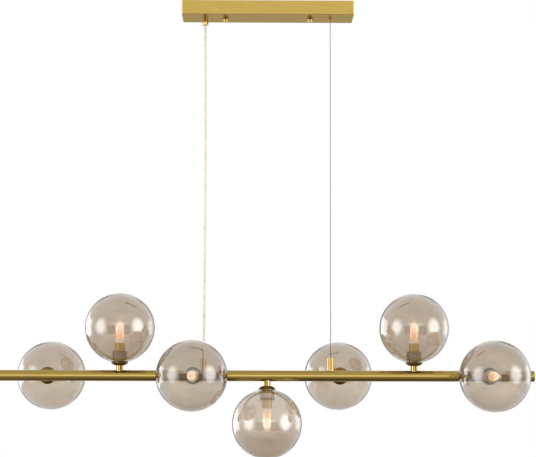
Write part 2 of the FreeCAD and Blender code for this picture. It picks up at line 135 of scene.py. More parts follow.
def lamp_distances(tree: bpy.types.NodeTree) -> tuple[Socket, Socket]:
    """Finds where a point of any lamp lies, whichever way that lamp is aimed.

    A lamp's pieces are narrower than they are far from the bar, so the larger of a point's
    two distances from the bar's axis is its distance along the lamp.

    Args:
        tree: the material's node tree.

    Returns:
        The distance from the bar's axis and the distance from the lamp's own axis.
    """
    place = add_node(tree, "ShaderNodeSeparateXYZ", inputs={
        0: add_node(tree, "ShaderNodeTexCoord").outputs["Object"]})
    level = add_node(tree, "ShaderNodeMath", {"operation": "ABSOLUTE"}, {0: place.outputs["Y"]})
    lifted = add_node(tree, "ShaderNodeMath", {"operation": "ADD"},
                      {0: place.outputs["Z"], 1: DROP})
    upright = add_node(tree, "ShaderNodeMath", {"operation": "ABSOLUTE"},
                       {0: lifted.outputs[0]})
    pair = {0: level.outputs[0], 1: upright.outputs[0]}
    outward = add_node(tree, "ShaderNodeMath", {"operation": "MAXIMUM"}, pair)
    sideways = add_node(tree, "ShaderNodeMath", {"operation": "MINIMUM"}, pair)
    along = add_node(tree, "ShaderNodeMath", {"operation": "WRAP"},
                     {0: place.outputs["X"], 1: LAMP_PITCH / 2, 2: -LAMP_PITCH / 2})
    flat = add_node(tree, "ShaderNodeCombineXYZ",
                    inputs={"X": along.outputs[0], "Y": sideways.outputs[0]})
    round_axis = add_node(tree, "ShaderNodeVectorMath", {"operation": "LENGTH"},
                          {0: flat.outputs[0]})
    return outward.outputs[0], round_axis.outputs["Value"]


def let_lamps_through(tree: bpy.types.NodeTree, glass: Socket, tint: Rgba) -> Socket:
    """Lets the studio's lamps light what is behind glass.

    Args:
        tree: the material's node tree.
        glass: the glass's own shader.
        tint: the colour that a lamp's light keeps on its way through one surface.

    Returns:
        The shader to show.
    """
    path = add_node(tree, "ShaderNodeLightPath")
    clear = add_node(tree, "ShaderNodeBsdfTransparent", inputs={"Color": tint})
    both = add_node(tree, "ShaderNodeMixShader", inputs={
        0: path.outputs["Is Shadow Ray"], 1: glass, 2: clear.outputs[0]})
    return both.outputs[0]


# ---- finishes ----
@dataclass(frozen=True)
class Finish:
    """One real material and the way that its surface was made.

    Attributes:
        name: the material's common name.
        colour: its main colour, sRGB hex.
    """

    name: str
    colour: str

    def surface(self, tree: bpy.types.NodeTree) -> Socket:
        """Builds the shader in a tree and returns its socket."""
        raise NotImplementedError

    def inside(self, tree: bpy.types.NodeTree) -> dict[str | int, object]:
        """Builds what fills the body, if light passes through it, as the output's inputs."""
        return {}

    def material(self) -> bpy.types.Material:
        """Makes the material the first time that it is asked for.

        Returns:
            The material.
        """
        made = bpy.data.materials.get(self.name)
        if made is None:
            made = bpy.data.materials.new(self.name)
            made.use_nodes = True
            tree = made.node_tree
            tree.nodes.clear()
            add_node(tree, "ShaderNodeOutputMaterial",
                     inputs={"Surface": self.surface(tree), **self.inside(tree)})
        return made


@dataclass(frozen=True)
class BrushedMetal(Finish):
    """Lacquered metal with the fine lines that an abrasive belt leaves.

    Attributes:
        shade: the colour at the bottom of the lines, sRGB hex.
        grain: the way that the lines run.
        line: width of a line in mm, drawn wide enough to show.
        reach: length of a line in mm.
        roughness: typical roughness of the lacquered lines.
        depth: depth of the lines in mm.
        cloud: size in mm of the slower changes of tone across the lines.
        lacquer: share of the face under a glossy clear lacquer.
        edge: the tint of what it mirrors at a glance, sRGB hex.
    """

    shade: str
    grain: Grain
    line: float = 0.45
    reach: float = 45.0
    roughness: float = 0.3
    depth: float = 0.006
    cloud: float = 60.0
    lacquer: float = 0.0
    edge: str = "#F6E8CC"

    def surface(self, tree: bpy.types.NodeTree) -> Socket:
        """Lines stretched along the grain set colour, roughness and bump.

        Args:
            tree: the material's node tree.

        Returns:
            The metal's shader.
        """
        scale = [1 / ((self.reach if part else self.line) * MM) for part in self.grain.value]
        place = add_node(tree, "ShaderNodeTexCoord").outputs["Object"]
        drawn = add_node(tree, "ShaderNodeMapping", inputs={"Vector": place, "Scale": scale})
        lines = add_node(tree, "ShaderNodeTexNoise", inputs={
            "Vector": drawn.outputs[0], "Scale": 1.0, "Detail": 3.0, "Roughness": 0.6})
        cloud = add_node(tree, "ShaderNodeTexNoise", inputs={
            "Vector": place, "Scale": 1 / (self.cloud * MM), "Detail": 2.0})
        tone = add_node(tree, "ShaderNodeMix", COLOURS, {
            "Factor": add_node(tree, "ShaderNodeMath", {"operation": "MULTIPLY_ADD"}, {
                0: lines.outputs["Fac"], 1: 0.7,
                2: add_node(tree, "ShaderNodeMath", {"operation": "MULTIPLY"}, {
                    0: cloud.outputs["Fac"], 1: 0.3}).outputs[0]}).outputs[0],
            6: linear(self.shade), 7: linear(self.colour)})
        rough = add_node(tree, "ShaderNodeMapRange", inputs={
            "Value": lines.outputs["Fac"], "From Min": 0.3, "From Max": 0.7,
            "To Min": self.roughness + 0.05, "To Max": self.roughness - 0.05})
        relief = add_node(tree, "ShaderNodeBump", inputs={
            "Height": lines.outputs["Fac"], "Strength": 0.5, "Distance": self.depth * MM})
        metal = add_node(tree, "ShaderNodeBsdfPrincipled", inputs={
            "Base Color": tone.outputs[2], "Metallic": 1.0, "Roughness": rough.outputs[0],
            "Normal": relief.outputs[0], "Specular Tint": linear(self.edge),
            "Coat Weight": self.lacquer, "Coat Roughness": 0.08})
        return metal.outputs[0]


@dataclass(frozen=True)
class PolishedMetal(Finish):
    """Turned and buffed metal: near mirror-bright, with faint smears and fine pits.

    Attributes:
        shade: the colour of the smears, sRGB hex.
        roughness: typical roughness of the buffed face.
        smear: size of the wheel's smears in mm.
        pit: size of the pits in mm, drawn coarse enough to show.
    """

    shade: str
    roughness: float = 0.12
    smear: float = 9.0
    pit: float = 0.5

    def surface(self, tree: bpy.types.NodeTree) -> Socket:
        """Soft smears vary the tone and the gloss, and fine pits roughen it a little.

        Args:
            tree: the material's node tree.

        Returns:
            The metal's shader.
        """
        place = add_node(tree, "ShaderNodeTexCoord").outputs["Object"]
        smears = add_node(tree, "ShaderNodeTexNoise", inputs={
            "Vector": place, "Scale": 1 / (self.smear * MM), "Detail": 4.0, "Roughness": 0.55})
        pits = add_node(tree, "ShaderNodeTexNoise", inputs={
            "Vector": place, "Scale": 1 / (self.pit * MM), "Detail": 2.0})
        tone = add_node(tree, "ShaderNodeMix", COLOURS, {
            "Factor": smears.outputs["Fac"], 6: linear(self.shade), 7: linear(self.colour)})
        rough = add_node(tree, "ShaderNodeMapRange", inputs={
            "Value": smears.outputs["Fac"], "From Min": 0.3, "From Max": 0.7,
            "To Min": self.roughness * 0.7, "To Max": self.roughness * 1.4})
        relief = add_node(tree, "ShaderNodeBump", inputs={
            "Height": pits.outputs["Fac"], "Strength": 0.15, "Distance": 0.004 * MM})
        metal = add_node(tree, "ShaderNodeBsdfPrincipled", inputs={
            "Base Color": tone.outputs[2], "Metallic": 1.0, "Roughness": rough.outputs[0],
            "Normal": relief.outputs[0]})
        return metal.outputs[0]


@dataclass(frozen=True)
class SpunMetal(Finish):
    """Sheet metal spun on a lathe, with rings round each lamp's own axis.

    Attributes:
        shade: the colour between the rings, sRGB hex.
        ring: width of a ring in mm.
        roughness: typical roughness of the spun face.
    """

    shade: str
    ring: float = 0.5
    roughness: float = 0.22

    def surface(self, tree: bpy.types.NodeTree) -> Socket:
        """One-dimensional noise across the rings sets colour, roughness and bump.

        Args:
            tree: the material's node tree.

        Returns:
            The metal's shader.
        """
        outward, radius = lamp_distances(tree)
        across = add_node(tree, "ShaderNodeMath", {"operation": "MULTIPLY_ADD"}, {
            0: radius, 1: 1 / (self.ring * MM),
            2: add_node(tree, "ShaderNodeMath", {"operation": "MULTIPLY"}, {
                0: outward, 1: 1 / (self.ring * MM)}).outputs[0]})
        rings = add_node(tree, "ShaderNodeTexNoise", {"noise_dimensions": "1D"}, {
            "W": across.outputs[0], "Scale": 1.0, "Detail": 2.0})
        tone = add_node(tree, "ShaderNodeMix", COLOURS, {
            "Factor": rings.outputs["Fac"], 6: linear(self.shade), 7: linear(self.colour)})
        rough = add_node(tree, "ShaderNodeMapRange", inputs={
            "Value": rings.outputs["Fac"], "From Min": 0.3, "From Max": 0.7,
            "To Min": self.roughness + 0.06, "To Max": self.roughness - 0.06})
        relief = add_node(tree, "ShaderNodeBump", inputs={
            "Height": rings.outputs["Fac"], "Strength": 0.4, "Distance": 0.01 * MM})
        metal = add_node(tree, "ShaderNodeBsdfPrincipled", inputs={
            "Base Color": tone.outputs[2], "Metallic": 1.0, "Roughness": rough.outputs[0],
            "Normal": relief.outputs[0]})
        return metal.outputs[0]


@dataclass(frozen=True)
class SmokedGlass(Finish):
    """Blown glass, smoke tinted in the wall, under a thin metallised coat that half mirrors.

    Attributes:
        deep: the tint where the coat lies thicker and where no painted light lies, sRGB hex.
        wall: the tint of the glass itself, sRGB hex.
        absorption: how strongly the wall takes light, per metre.
        cloud: size of the coat's uneven patches in mm.
        uneven: how much of the change from thick to thin the patches make.
        painted_lift: how much of that change the painted light makes, which paints a band below
            the bar's level lighter in place of the brighter light that the lower halves mirror.
        painted_lift_from: heights over the bar's axis in mm, between which the painted light grows
            downwards.
        painted_lift_fades: heights over it in mm, between which the painted light fades out again.
        gloss: the coat's IOR, high because it is metallised.
    """

    deep: str
    wall: str
    absorption: float
    cloud: float = 38.0
    uneven: float = 0.25
    painted_lift: float = 0.75
    painted_lift_from: tuple[float, float] = (10.0, -30.0)
    painted_lift_fades: tuple[float, float] = (-70.0, -130.0)
    gloss: float = 1.7

    def surface(self, tree: bpy.types.NodeTree) -> Socket:
        """The coat is patchy and half mirrors, and a band below the bar's level is painted
        lighter.

        Args:
            tree: the material's node tree.

        Returns:
            The glass's shader, which lets the lamps through.
        """
        place = add_node(tree, "ShaderNodeTexCoord").outputs["Object"]
        patches = add_node(tree, "ShaderNodeTexNoise", inputs={
            "Vector": place, "Scale": 1 / (self.cloud * MM), "Detail": 3.0,
            "Roughness": 0.5, "Distortion": 0.6})
        height = add_node(tree, "ShaderNodeSeparateXYZ", inputs={0: place}).outputs["Z"]
        # Painted light: the tint is lighter in a band below the bar's level and fades back further
        # down, in place of the brighter light that the globes' lower halves mirror.
        lift_top, lift_full = [step * MM - DROP for step in self.painted_lift_from]
        lift_fade_top, lift_fade_bottom = [step * MM - DROP for step in self.painted_lift_fades]
        below = add_node(tree, "ShaderNodeMapRange", SMOOTH, {
            "Value": height, "From Min": lift_full, "From Max": lift_top,
            "To Min": self.painted_lift, "To Max": 0.0})
        above = add_node(tree, "ShaderNodeMapRange", SMOOTH, {
            "Value": height, "From Min": lift_fade_bottom, "From Max": lift_fade_top})
        painted_light_band = add_node(tree, "ShaderNodeMath", {"operation": "MULTIPLY"}, {
            0: below.outputs[0], 1: above.outputs[0]})
        even = add_node(tree, "ShaderNodeMapRange", inputs={
            "Value": patches.outputs["Fac"], "From Min": 0.35, "From Max": 0.65,
            "To Max": self.uneven})
        # The coat's real patches, plus the painted lighter band.
        thin = add_node(tree, "ShaderNodeMath", {"operation": "ADD"}, {
            0: even.outputs[0], 1: painted_light_band.outputs[0]})
        tint = add_node(tree, "ShaderNodeMix", COLOURS, {
            "Factor": thin.outputs[0], 6: linear(self.deep), 7: linear(self.colour)})
        glass = add_node(tree, "ShaderNodeBsdfPrincipled", inputs={
            "Base Color": tint.outputs[2], "Roughness": 0.0, "IOR": 1.5,
            "Transmission Weight": 1.0, "Coat Weight": 1.0, "Coat Roughness": 0.02,
            "Coat IOR": self.gloss})
        return let_lamps_through(tree, glass.outputs[0], linear(self.colour))

    def inside(self, tree: bpy.types.NodeTree) -> dict[str | int, object]:
        """The tinted wall, which darkens the rim, where light passes along it."""
        tinted = add_node(tree, "ShaderNodeVolumeAbsorption", inputs={
            "Color": linear(self.wall), "Density": self.absorption})
        return {"Volume": tinted.outputs[0]}


@dataclass(frozen=True)
class LitEnvelope(Finish):
    """A clear bulb's glass, with the warm light of its filaments on it.

    Attributes:
        low_glow: colour of the light near the collar, sRGB hex.
        high_glow: colour of the light along the filaments, sRGB hex.
        tip_glow: colour of the light at the bare tip, sRGB hex.
        seat: distance from the bar's axis to the collar's end in mm.
        tip: distance from the bar's axis to the bulb's tip in mm.
        warm_from: where the amber starts to pale, past the collar, in mm.
        warm_to: where it has paled, past the collar, in mm.
        bare: length of the dim tip in mm.
        strength: how strongly it glows.
    """

    low_glow: str
    high_glow: str
    tip_glow: str = "#595045"
    seat: float = 73.5
    tip: float = 111.5
    warm_from: float = 3.0
    warm_to: float = 14.0
    bare: float = 4.0
    strength: float = 0.22

    def surface(self, tree: bpy.types.NodeTree) -> Socket:
        """The glow turns from amber at the collar to a warm white above it.

        Args:
            tree: the material's node tree.

        Returns:
            The glass's shader, which lets the lamps through.
        """
        outward, _ = lamp_distances(tree)
        height = add_node(tree, "ShaderNodeMapRange", SMOOTH, {
            "Value": outward, "From Min": (self.seat + self.warm_from) * MM,
            "From Max": (self.seat + self.warm_to) * MM})
        warm = add_node(tree, "ShaderNodeMix", COLOURS, {
            "Factor": height.outputs[0], 6: linear(self.low_glow), 7: linear(self.high_glow)})
        fading = add_node(tree, "ShaderNodeMapRange", SMOOTH, {
            "Value": outward, "From Min": (self.tip - self.bare) * MM,
            "From Max": self.tip * MM})
        glow = add_node(tree, "ShaderNodeMix", COLOURS, {
            "Factor": fading.outputs[0], 6: warm.outputs[2], 7: linear(self.tip_glow)})
        glass = add_node(tree, "ShaderNodeBsdfPrincipled", inputs={
            "Base Color": linear(self.colour), "Roughness": 0.05, "IOR": 1.45,
            "Transmission Weight": 1.0, "Emission Color": glow.outputs[2],
            "Emission Strength": self.strength})
        return let_lamps_through(tree, glass.outputs[0], linear(self.colour))


@dataclass(frozen=True)
class ClearPlastic(Finish):
    """Clear soft PVC, extruded, with faint flow lines along it.

    Attributes:
        flow: length of a flow line in mm.
        line: width of a flow line in mm, drawn wide enough to show.
        ior: its IOR, under PVC's 1.53, so that the jacket looks as clear as in the photograph.
    """

    flow: float = 30.0
    line: float = 1.0
    ior: float = 1.3

    def surface(self, tree: bpy.types.NodeTree) -> Socket:
        """Long flow lines vary the gloss of the clear jacket.

        Args:
            tree: the material's node tree.

        Returns:
            The plastic's shader, which lets the lamps through.
        """
        place = add_node(tree, "ShaderNodeTexCoord").outputs["Object"]
        scale = [1 / (size * MM) for size in (self.line, self.line, self.flow)]
        drawn = add_node(tree, "ShaderNodeMapping", inputs={"Vector": place, "Scale": scale})
        lines = add_node(tree, "ShaderNodeTexNoise", inputs={
            "Vector": drawn.outputs[0], "Scale": 1.0, "Detail": 2.0})
        rough = add_node(tree, "ShaderNodeMapRange", inputs={
            "Value": lines.outputs["Fac"], "To Min": 0.04, "To Max": 0.2})
        plastic = add_node(tree, "ShaderNodeBsdfPrincipled", inputs={
            "Base Color": linear(self.colour), "Roughness": rough.outputs[0],
            "IOR": self.ior, "Transmission Weight": 1.0})
        return let_lamps_through(tree, plastic.outputs[0], linear(self.colour))


@dataclass(frozen=True)
class FiredOrMoulded(Finish):
    """An even, dense body with a fine skin: glazed ceramic, moulded plastic or silicone.

    Attributes:
        shade: the colour of the body's darker specks, sRGB hex.
        grit: size of the skin's texture in mm.
        roughness: typical roughness of the skin.
        soft: share of light that passes under the skin.
        drift: size of the slower changes of tone in mm.
        glow: how strongly a lit bulb's light shows in the body.
        light: colour of that light, sRGB hex.
    """

    shade: str
    grit: float = 0.6
    roughness: float = 0.35
    soft: float = 0.0
    drift: float = 14.0
    glow: float = 0.0
    light: str = "#FFE3CC"

    def surface(self, tree: bpy.types.NodeTree) -> Socket:
        """Specks and a fine skin, with a slower drift of tone under them.

        Args:
            tree: the material's node tree.

        Returns:
            The body's shader.
        """
        place = add_node(tree, "ShaderNodeTexCoord").outputs["Object"]
        skin = add_node(tree, "ShaderNodeTexNoise", inputs={
            "Vector": place, "Scale": 1 / (self.grit * MM), "Detail": 3.0})
        drift = add_node(tree, "ShaderNodeTexNoise", inputs={
            "Vector": place, "Scale": 1 / (self.drift * MM), "Detail": 2.0})
        both = add_node(tree, "ShaderNodeMath", {"operation": "MULTIPLY"}, {
            0: skin.outputs["Fac"], 1: drift.outputs["Fac"]})
        spread = add_node(tree, "ShaderNodeMapRange", inputs={
            "Value": both.outputs[0], "From Min": 0.1, "From Max": 0.4})
        tone = add_node(tree, "ShaderNodeMix", COLOURS, {
            "Factor": spread.outputs[0], 6: linear(self.shade), 7: linear(self.colour)})
        rough = add_node(tree, "ShaderNodeMapRange", inputs={
            "Value": skin.outputs["Fac"], "To Min": self.roughness - 0.1,
            "To Max": self.roughness + 0.1})
        relief = add_node(tree, "ShaderNodeBump", inputs={
            "Height": skin.outputs["Fac"], "Strength": 0.2, "Distance": 0.02 * MM})
        body = add_node(tree, "ShaderNodeBsdfPrincipled", inputs={
            "Base Color": tone.outputs[2], "Roughness": rough.outputs[0],
            "Normal": relief.outputs[0], "Subsurface Weight": self.soft,
            "Subsurface Scale": 2 * MM, "Emission Color": linear(self.light),
            "Emission Strength": self.glow})
        return body.outputs[0]


@dataclass(frozen=True)
class Phosphor(Finish):
    """The amber coat on a filament strip, which glows a little.

    Attributes:
        glow: colour of its light, sRGB hex.
        strength: how strongly it glows.
        crystal: size of a crystal in mm, drawn coarse enough to show.
    """

    glow: str
    strength: float = 0.3
    crystal: float = 0.4

    def surface(self, tree: bpy.types.NodeTree) -> Socket:
        """Fine crystals in the coat vary its colour.

        Args:
            tree: the material's node tree.

        Returns:
            The coat's shader.
        """
        place = add_node(tree, "ShaderNodeTexCoord").outputs["Object"]
        crystals = add_node(tree, "ShaderNodeTexVoronoi", inputs={
            "Vector": place, "Scale": 1 / (self.crystal * MM)})
        tone = add_node(tree, "ShaderNodeMix", COLOURS, {
            "Factor": crystals.outputs["Distance"], 6: linear(self.colour),
            7: linear(self.glow)})
        coat = add_node(tree, "ShaderNodeBsdfPrincipled", inputs={
            "Base Color": tone.outputs[2], "Roughness": 0.6,
            "Emission Color": tone.outputs[2], "Emission Strength": self.strength})
        return coat.outputs[0]


# Drawn tube, belt brushed along and lacquered: long fine streaks of olive gold, under a wet
# gloss that draws the studio as sharp bands along the bar.
BAR_BRASS = BrushedMetal("lacquered brass, belt brushed along the tube", "#AA8E38", "#967A2C",
                         Grain.ALONG_X, roughness=0.17, lacquer=1.0)
# Folded sheet, brushed along: an even, softly shining gold with no sharp image in it.
CANOPY_BRASS = BrushedMetal("lacquered brass sheet, brushed along the canopy", "#AC9450",
                            "#9A8240", Grain.ALONG_X, line=0.6, roughness=0.3)
# Turned and buffed: pale gold, with small hard highlights and dark edges beside them.
TURNED_BRASS = PolishedMetal("turned brass, buffed", "#D3B975", "#AE9457", roughness=0.12)
# Spun on a lathe: darker, browner gold, with rings that fan the light out across the dish.
SPUN_BRASS = SpunMetal("brass sheet, spun and lacquered", "#94753A", "#6B5225")
# Pressed cup with a satin skin: pale, silky gold with upright lines.
SLEEVE_BRASS = BrushedMetal("brass cup, satin", "#EAD690", "#CDB56A", Grain.ALONG_Z,
                            roughness=0.3)
# Nickel over a rolled thread: warm white metal, a little blurred.
NICKEL = PolishedMetal("steel shell, nickel plated", "#FAF4E2", "#E0D6B8", roughness=0.2)
# Bright zinc on pressed steel: cool, pale grey with short, soft lines.
ZINC = BrushedMetal("steel, zinc plated", "#C4C7CA", "#9EA2A6", Grain.ALONG_Y, line=0.8,
                    reach=6.0, roughness=0.38)
# Hard drawn wire: mid grey, with the die's long lines on each strand.
STRAND_STEEL = BrushedMetal("steel strand, drawn", "#7C7B79", "#5C5B5D", Grain.ALONG_Z,
                            line=0.2, reach=20.0, roughness=0.35)
# Mouth blown, tinted and metallised: a thin brown veil, darker along the rim, on which the
# soft boxes stand as bright, soft patches.
SMOKED_GLASS = SmokedGlass("blown glass, smoked and metallised", "#F2EAE0", "#DFD3C5",
                           wall="#857869", absorption=60.0)
# Clear tube glass round glowing strips: amber at the collar and a warm white above it.
BULB_GLASS = LitEnvelope("bulb glass, clear, lit from inside", "#FFF6EA", "#F0AE68", "#FFE8D6")
# Soft PVC, extruded: a clear, wet looking skin with faint lines along it.
CLEAR_PVC = ClearPlastic("PVC, clear, extruded", "#F4F1EA")
# PVC insulation: pale, silvery cream that shows through the clear jacket.
CORE_PVC = FiredOrMoulded("PVC core insulation, silvery cream", "#F6F1E6", "#E4DCCB",
                          roughness=0.3)
# Pressed and fired steatite: dense, warm white with a half gloss.
CERAMIC = FiredOrMoulded("steatite ceramic, fired", "#F1EBE2", "#DDD3C8", roughness=0.32,
                         soft=0.2)
# The same ceramic round a lit bulb's foot: warmer and lighter.
LIT_CERAMIC = FiredOrMoulded("steatite ceramic, lit by the bulb", "#F6EEE6", "#E6DACE",
                             roughness=0.32, soft=0.2, glow=0.3)
# Unfilled polyamide, moulded: milky white, between matt and glossy.
TERMINAL_PLASTIC = FiredOrMoulded("polyamide, moulded, natural", "#EDEBE4", "#D9D6CC",
                                  roughness=0.42)
# Moulded silicone: dark, matt brown, which the front globes show as a ring.
SILICONE = FiredOrMoulded("silicone rubber, moulded, brown", "#4A3D30", "#352B21",
                          roughness=0.45)
# Phosphor in silicone over the diodes: rough amber that glows a little.
FILAMENT = Phosphor("phosphor strip, amber", "#B5641A", "#E08A2C")
# Drawn molybdenum: dull, brownish grey.
SUPPORT_WIRE = PolishedMetal("molybdenum support wire", "#9C8F7C", "#76695A", roughness=0.25)


# ---- the workbench ----
class Workbench:
    """Shapes pieces as by hand: a primitive, worked on in edit mode, then finished."""

    @staticmethod
    def clear_selection() -> None:
        """Leaves edit mode and deselects everything."""
        if bpy.context.object is not None and bpy.context.object.mode != "OBJECT":
            bpy.ops.object.mode_set(mode="OBJECT")
        bpy.ops.object.select_all(action="DESELECT")

    @staticmethod
    def opened(name: str) -> Piece:
        """Names the primitive just added and opens it in edit mode, with all of it selected.

        Args:
            name: the piece's name.

        Returns:
            The piece.
        """
        piece = bpy.context.active_object
        piece.name = name
        bpy.ops.object.mode_set(mode="EDIT")
        bpy.ops.mesh.select_mode(type="VERT")
        bpy.ops.mesh.select_all(action="SELECT")
        return piece

    @staticmethod
    def hold(piece: Piece) -> None:
        """Makes one piece the only selected and the active one.

        Args:
            piece: that piece.
        """
        Workbench.clear_selection()
        piece.select_set(True)
        bpy.context.view_layer.objects.active = piece

    @staticmethod
    def pick_vertices(piece: Piece, test: Callable[[Vector], bool]) -> None:
        """Selects a piece's vertices, in edit mode, by their place.

        Args:
            piece: the piece in edit mode.
            test: says of a vertex's place whether it is picked.
        """
        mesh = bmesh.from_edit_mesh(piece.data)
        bpy.ops.mesh.select_mode(type="VERT")
        for vertex in mesh.verts:
            vertex.select_set(test(vertex.co))
        mesh.select_flush_mode()
        bmesh.update_edit_mesh(piece.data)

    @staticmethod
    def pick_faces(piece: Piece, test: Callable[[Vector, Vector], bool]) -> None:
        """Selects a piece's faces, in edit mode, by their middle and their normal.

        Args:
            piece: the piece in edit mode.
            test: says of a face's middle and normal whether it is picked.
        """
        bpy.ops.mesh.select_mode(type="FACE")
        mesh = bmesh.from_edit_mesh(piece.data)
        for face in mesh.faces:
            face.select_set(test(face.calc_center_median(), face.normal))
        bmesh.update_edit_mesh(piece.data)

    @staticmethod
    def close_up(piece: Piece) -> None:
        """Merges doubles and turns all faces outwards, in edit mode, and leaves it.

        Args:
            piece: the piece in edit mode.
        """
        bpy.ops.mesh.select_all(action="SELECT")
        bpy.ops.mesh.remove_doubles(threshold=MERGE)
        bpy.ops.mesh.normals_make_consistent(inside=False)
        bpy.ops.object.mode_set(mode="OBJECT")

    @staticmethod
    def finish(piece: Piece, edge: float = 0.0, rounds: int = 2) -> Piece:
        """Breaks a piece's sharp edges, smooths it and puts its place into its mesh.

        Args:
            piece: the shaped piece.
            edge: width of the broken edge, or 0 for none.
            rounds: number of faces across that edge.

        Returns:
            The same piece, at the origin.
        """
        Workbench.hold(piece)
        if edge:
            bevel = piece.modifiers.new("broken edge", "BEVEL")
            bevel.width, bevel.segments, bevel.limit_method = edge, rounds, "ANGLE"
            bevel.angle_limit = SMOOTH_ANGLE
            bpy.ops.object.modifier_apply(modifier=bevel.name)
        bpy.ops.object.transform_apply(location=True, rotation=True, scale=True)
        bpy.ops.object.shade_smooth_by_angle(angle=SMOOTH_ANGLE)
        return piece

    @staticmethod
    def lathe(name: str, outline: Outline, segments: int, ends: Ends = Ends.CAPPED) -> Piece:
        """Draws a ring up along an outline, as on a lathe, round the Z axis.

        Args:
            name: the piece's name.
            outline: (radius, height) corners, none of them on the axis.
            segments: number of corners in the ring.
            ends: how the outline's two ends are closed.

        Returns:
            The closed piece, not yet finished.
        """
        radius, height = outline[0]
        Workbench.clear_selection()
        bpy.ops.mesh.primitive_circle_add(vertices=segments, radius=radius, fill_type="NOTHING",
                                          location=(0, 0, height))
        piece = Workbench.opened(name)
        if ends is Ends.CAPPED:
            bpy.ops.mesh.edge_face_add()
            bpy.ops.mesh.select_all(action="SELECT")
        for wider, higher in outline[1:]:
            bpy.ops.mesh.extrude_region_move(
                TRANSFORM_OT_translate={"value": (0, 0, higher - height)})
            bpy.ops.transform.resize(value=(wider / radius, wider / radius, 1),
                                     center_override=(0, 0, higher))
            radius, height = wider, higher
        Workbench.close_up(piece)
        return piece

    @staticmethod
    def hairpin(name: str, span: float, low: float, high: float, thickness: float) -> Piece:
        """Bends a round wire into an upright hairpin over the Z axis.

        Args:
            name: the piece's name.
            span: distance between the two legs.
            low: height of the legs' feet.
            high: height where the bend starts.
            thickness: the wire's diameter.

        Returns:
            The closed piece, not yet finished.
        """
        Workbench.clear_selection()
        bpy.ops.mesh.primitive_circle_add(vertices=8, radius=thickness / 2, fill_type="NGON",
                                          location=(span / 2, 0, low))
        piece = Workbench.opened(name)
        bpy.ops.mesh.extrude_region_move(TRANSFORM_OT_translate={"value": (0, 0, high - low)})
        bpy.ops.mesh.spin(steps=12, angle=-math.pi, center=(0, 0, high), axis=(0, 1, 0))
        bpy.ops.mesh.extrude_region_move(TRANSFORM_OT_translate={"value": (0, 0, low - high)})
        Workbench.close_up(piece)
        return piece

    @staticmethod
    def joined(name: str, pieces: Sequence[Piece]) -> Piece:
        """Joins several pieces into one mesh of separate shells.

        Args:
            name: the joined piece's name.
            pieces: the finished pieces, of which the first takes in the others.

        Returns:
            The joined piece, at the origin.
        """
        Workbench.hold(pieces[0])
        for piece in pieces:
            piece.select_set(True)
        bpy.ops.object.join()
        pieces[0].name = name
        return pieces[0]

    @staticmethod
    def copied(piece: Piece, name: str, place: Matrix) -> Piece:
        """Copies a piece, with its own mesh, to a new place.

        Args:
            piece: the finished piece.
            name: the copy's name.
            place: the move that is put into the copy's mesh.

        Returns:
            The copy, at the origin.
        """
        copy = bpy.data.objects.new(name, piece.data.copy())
        bpy.context.scene.collection.objects.link(copy)
        copy.data.transform(place)
        return copy


def lamp_place(number: int) -> Matrix:
    """Where a lamp sits and how it is aimed: the first back, the second up, and so on."""
    along = Matrix.Translation((LAMP_PITCH * (number - LAMP_COUNT // 2), 0, -DROP))
    return along @ Matrix.Rotation(math.radians(90 * (number - 1)), 4, "X")


def dress(finish: Finish, *nodes: str) -> None:
    """Gives CAD nodes their finish and reports them.

    Args:
        finish: what they are made of.
        nodes: their names.
    """
    for name in nodes:
        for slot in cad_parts[name].material_slots:
            slot.material = finish.material()
        log.info("%s: %s", name, finish.name)


def fit(piece: Piece, finish: Finish, body: str, replaced: Sequence[str] = ()) -> None:
    """Dresses a new piece, lets it ride on its body and reports it.

    Args:
        piece: the finished piece, at the origin.
        finish: what it is made of.
        body: the CAD body that carries it.
        replaced: CAD nodes that it stands for.
    """
    piece.data.materials.clear()
    piece.data.materials.append(finish.material())
    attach(piece, body)
    if replaced:
        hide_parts(*replaced)
    log.info("%s rides on %s: %s", piece.name, body, finish.name)


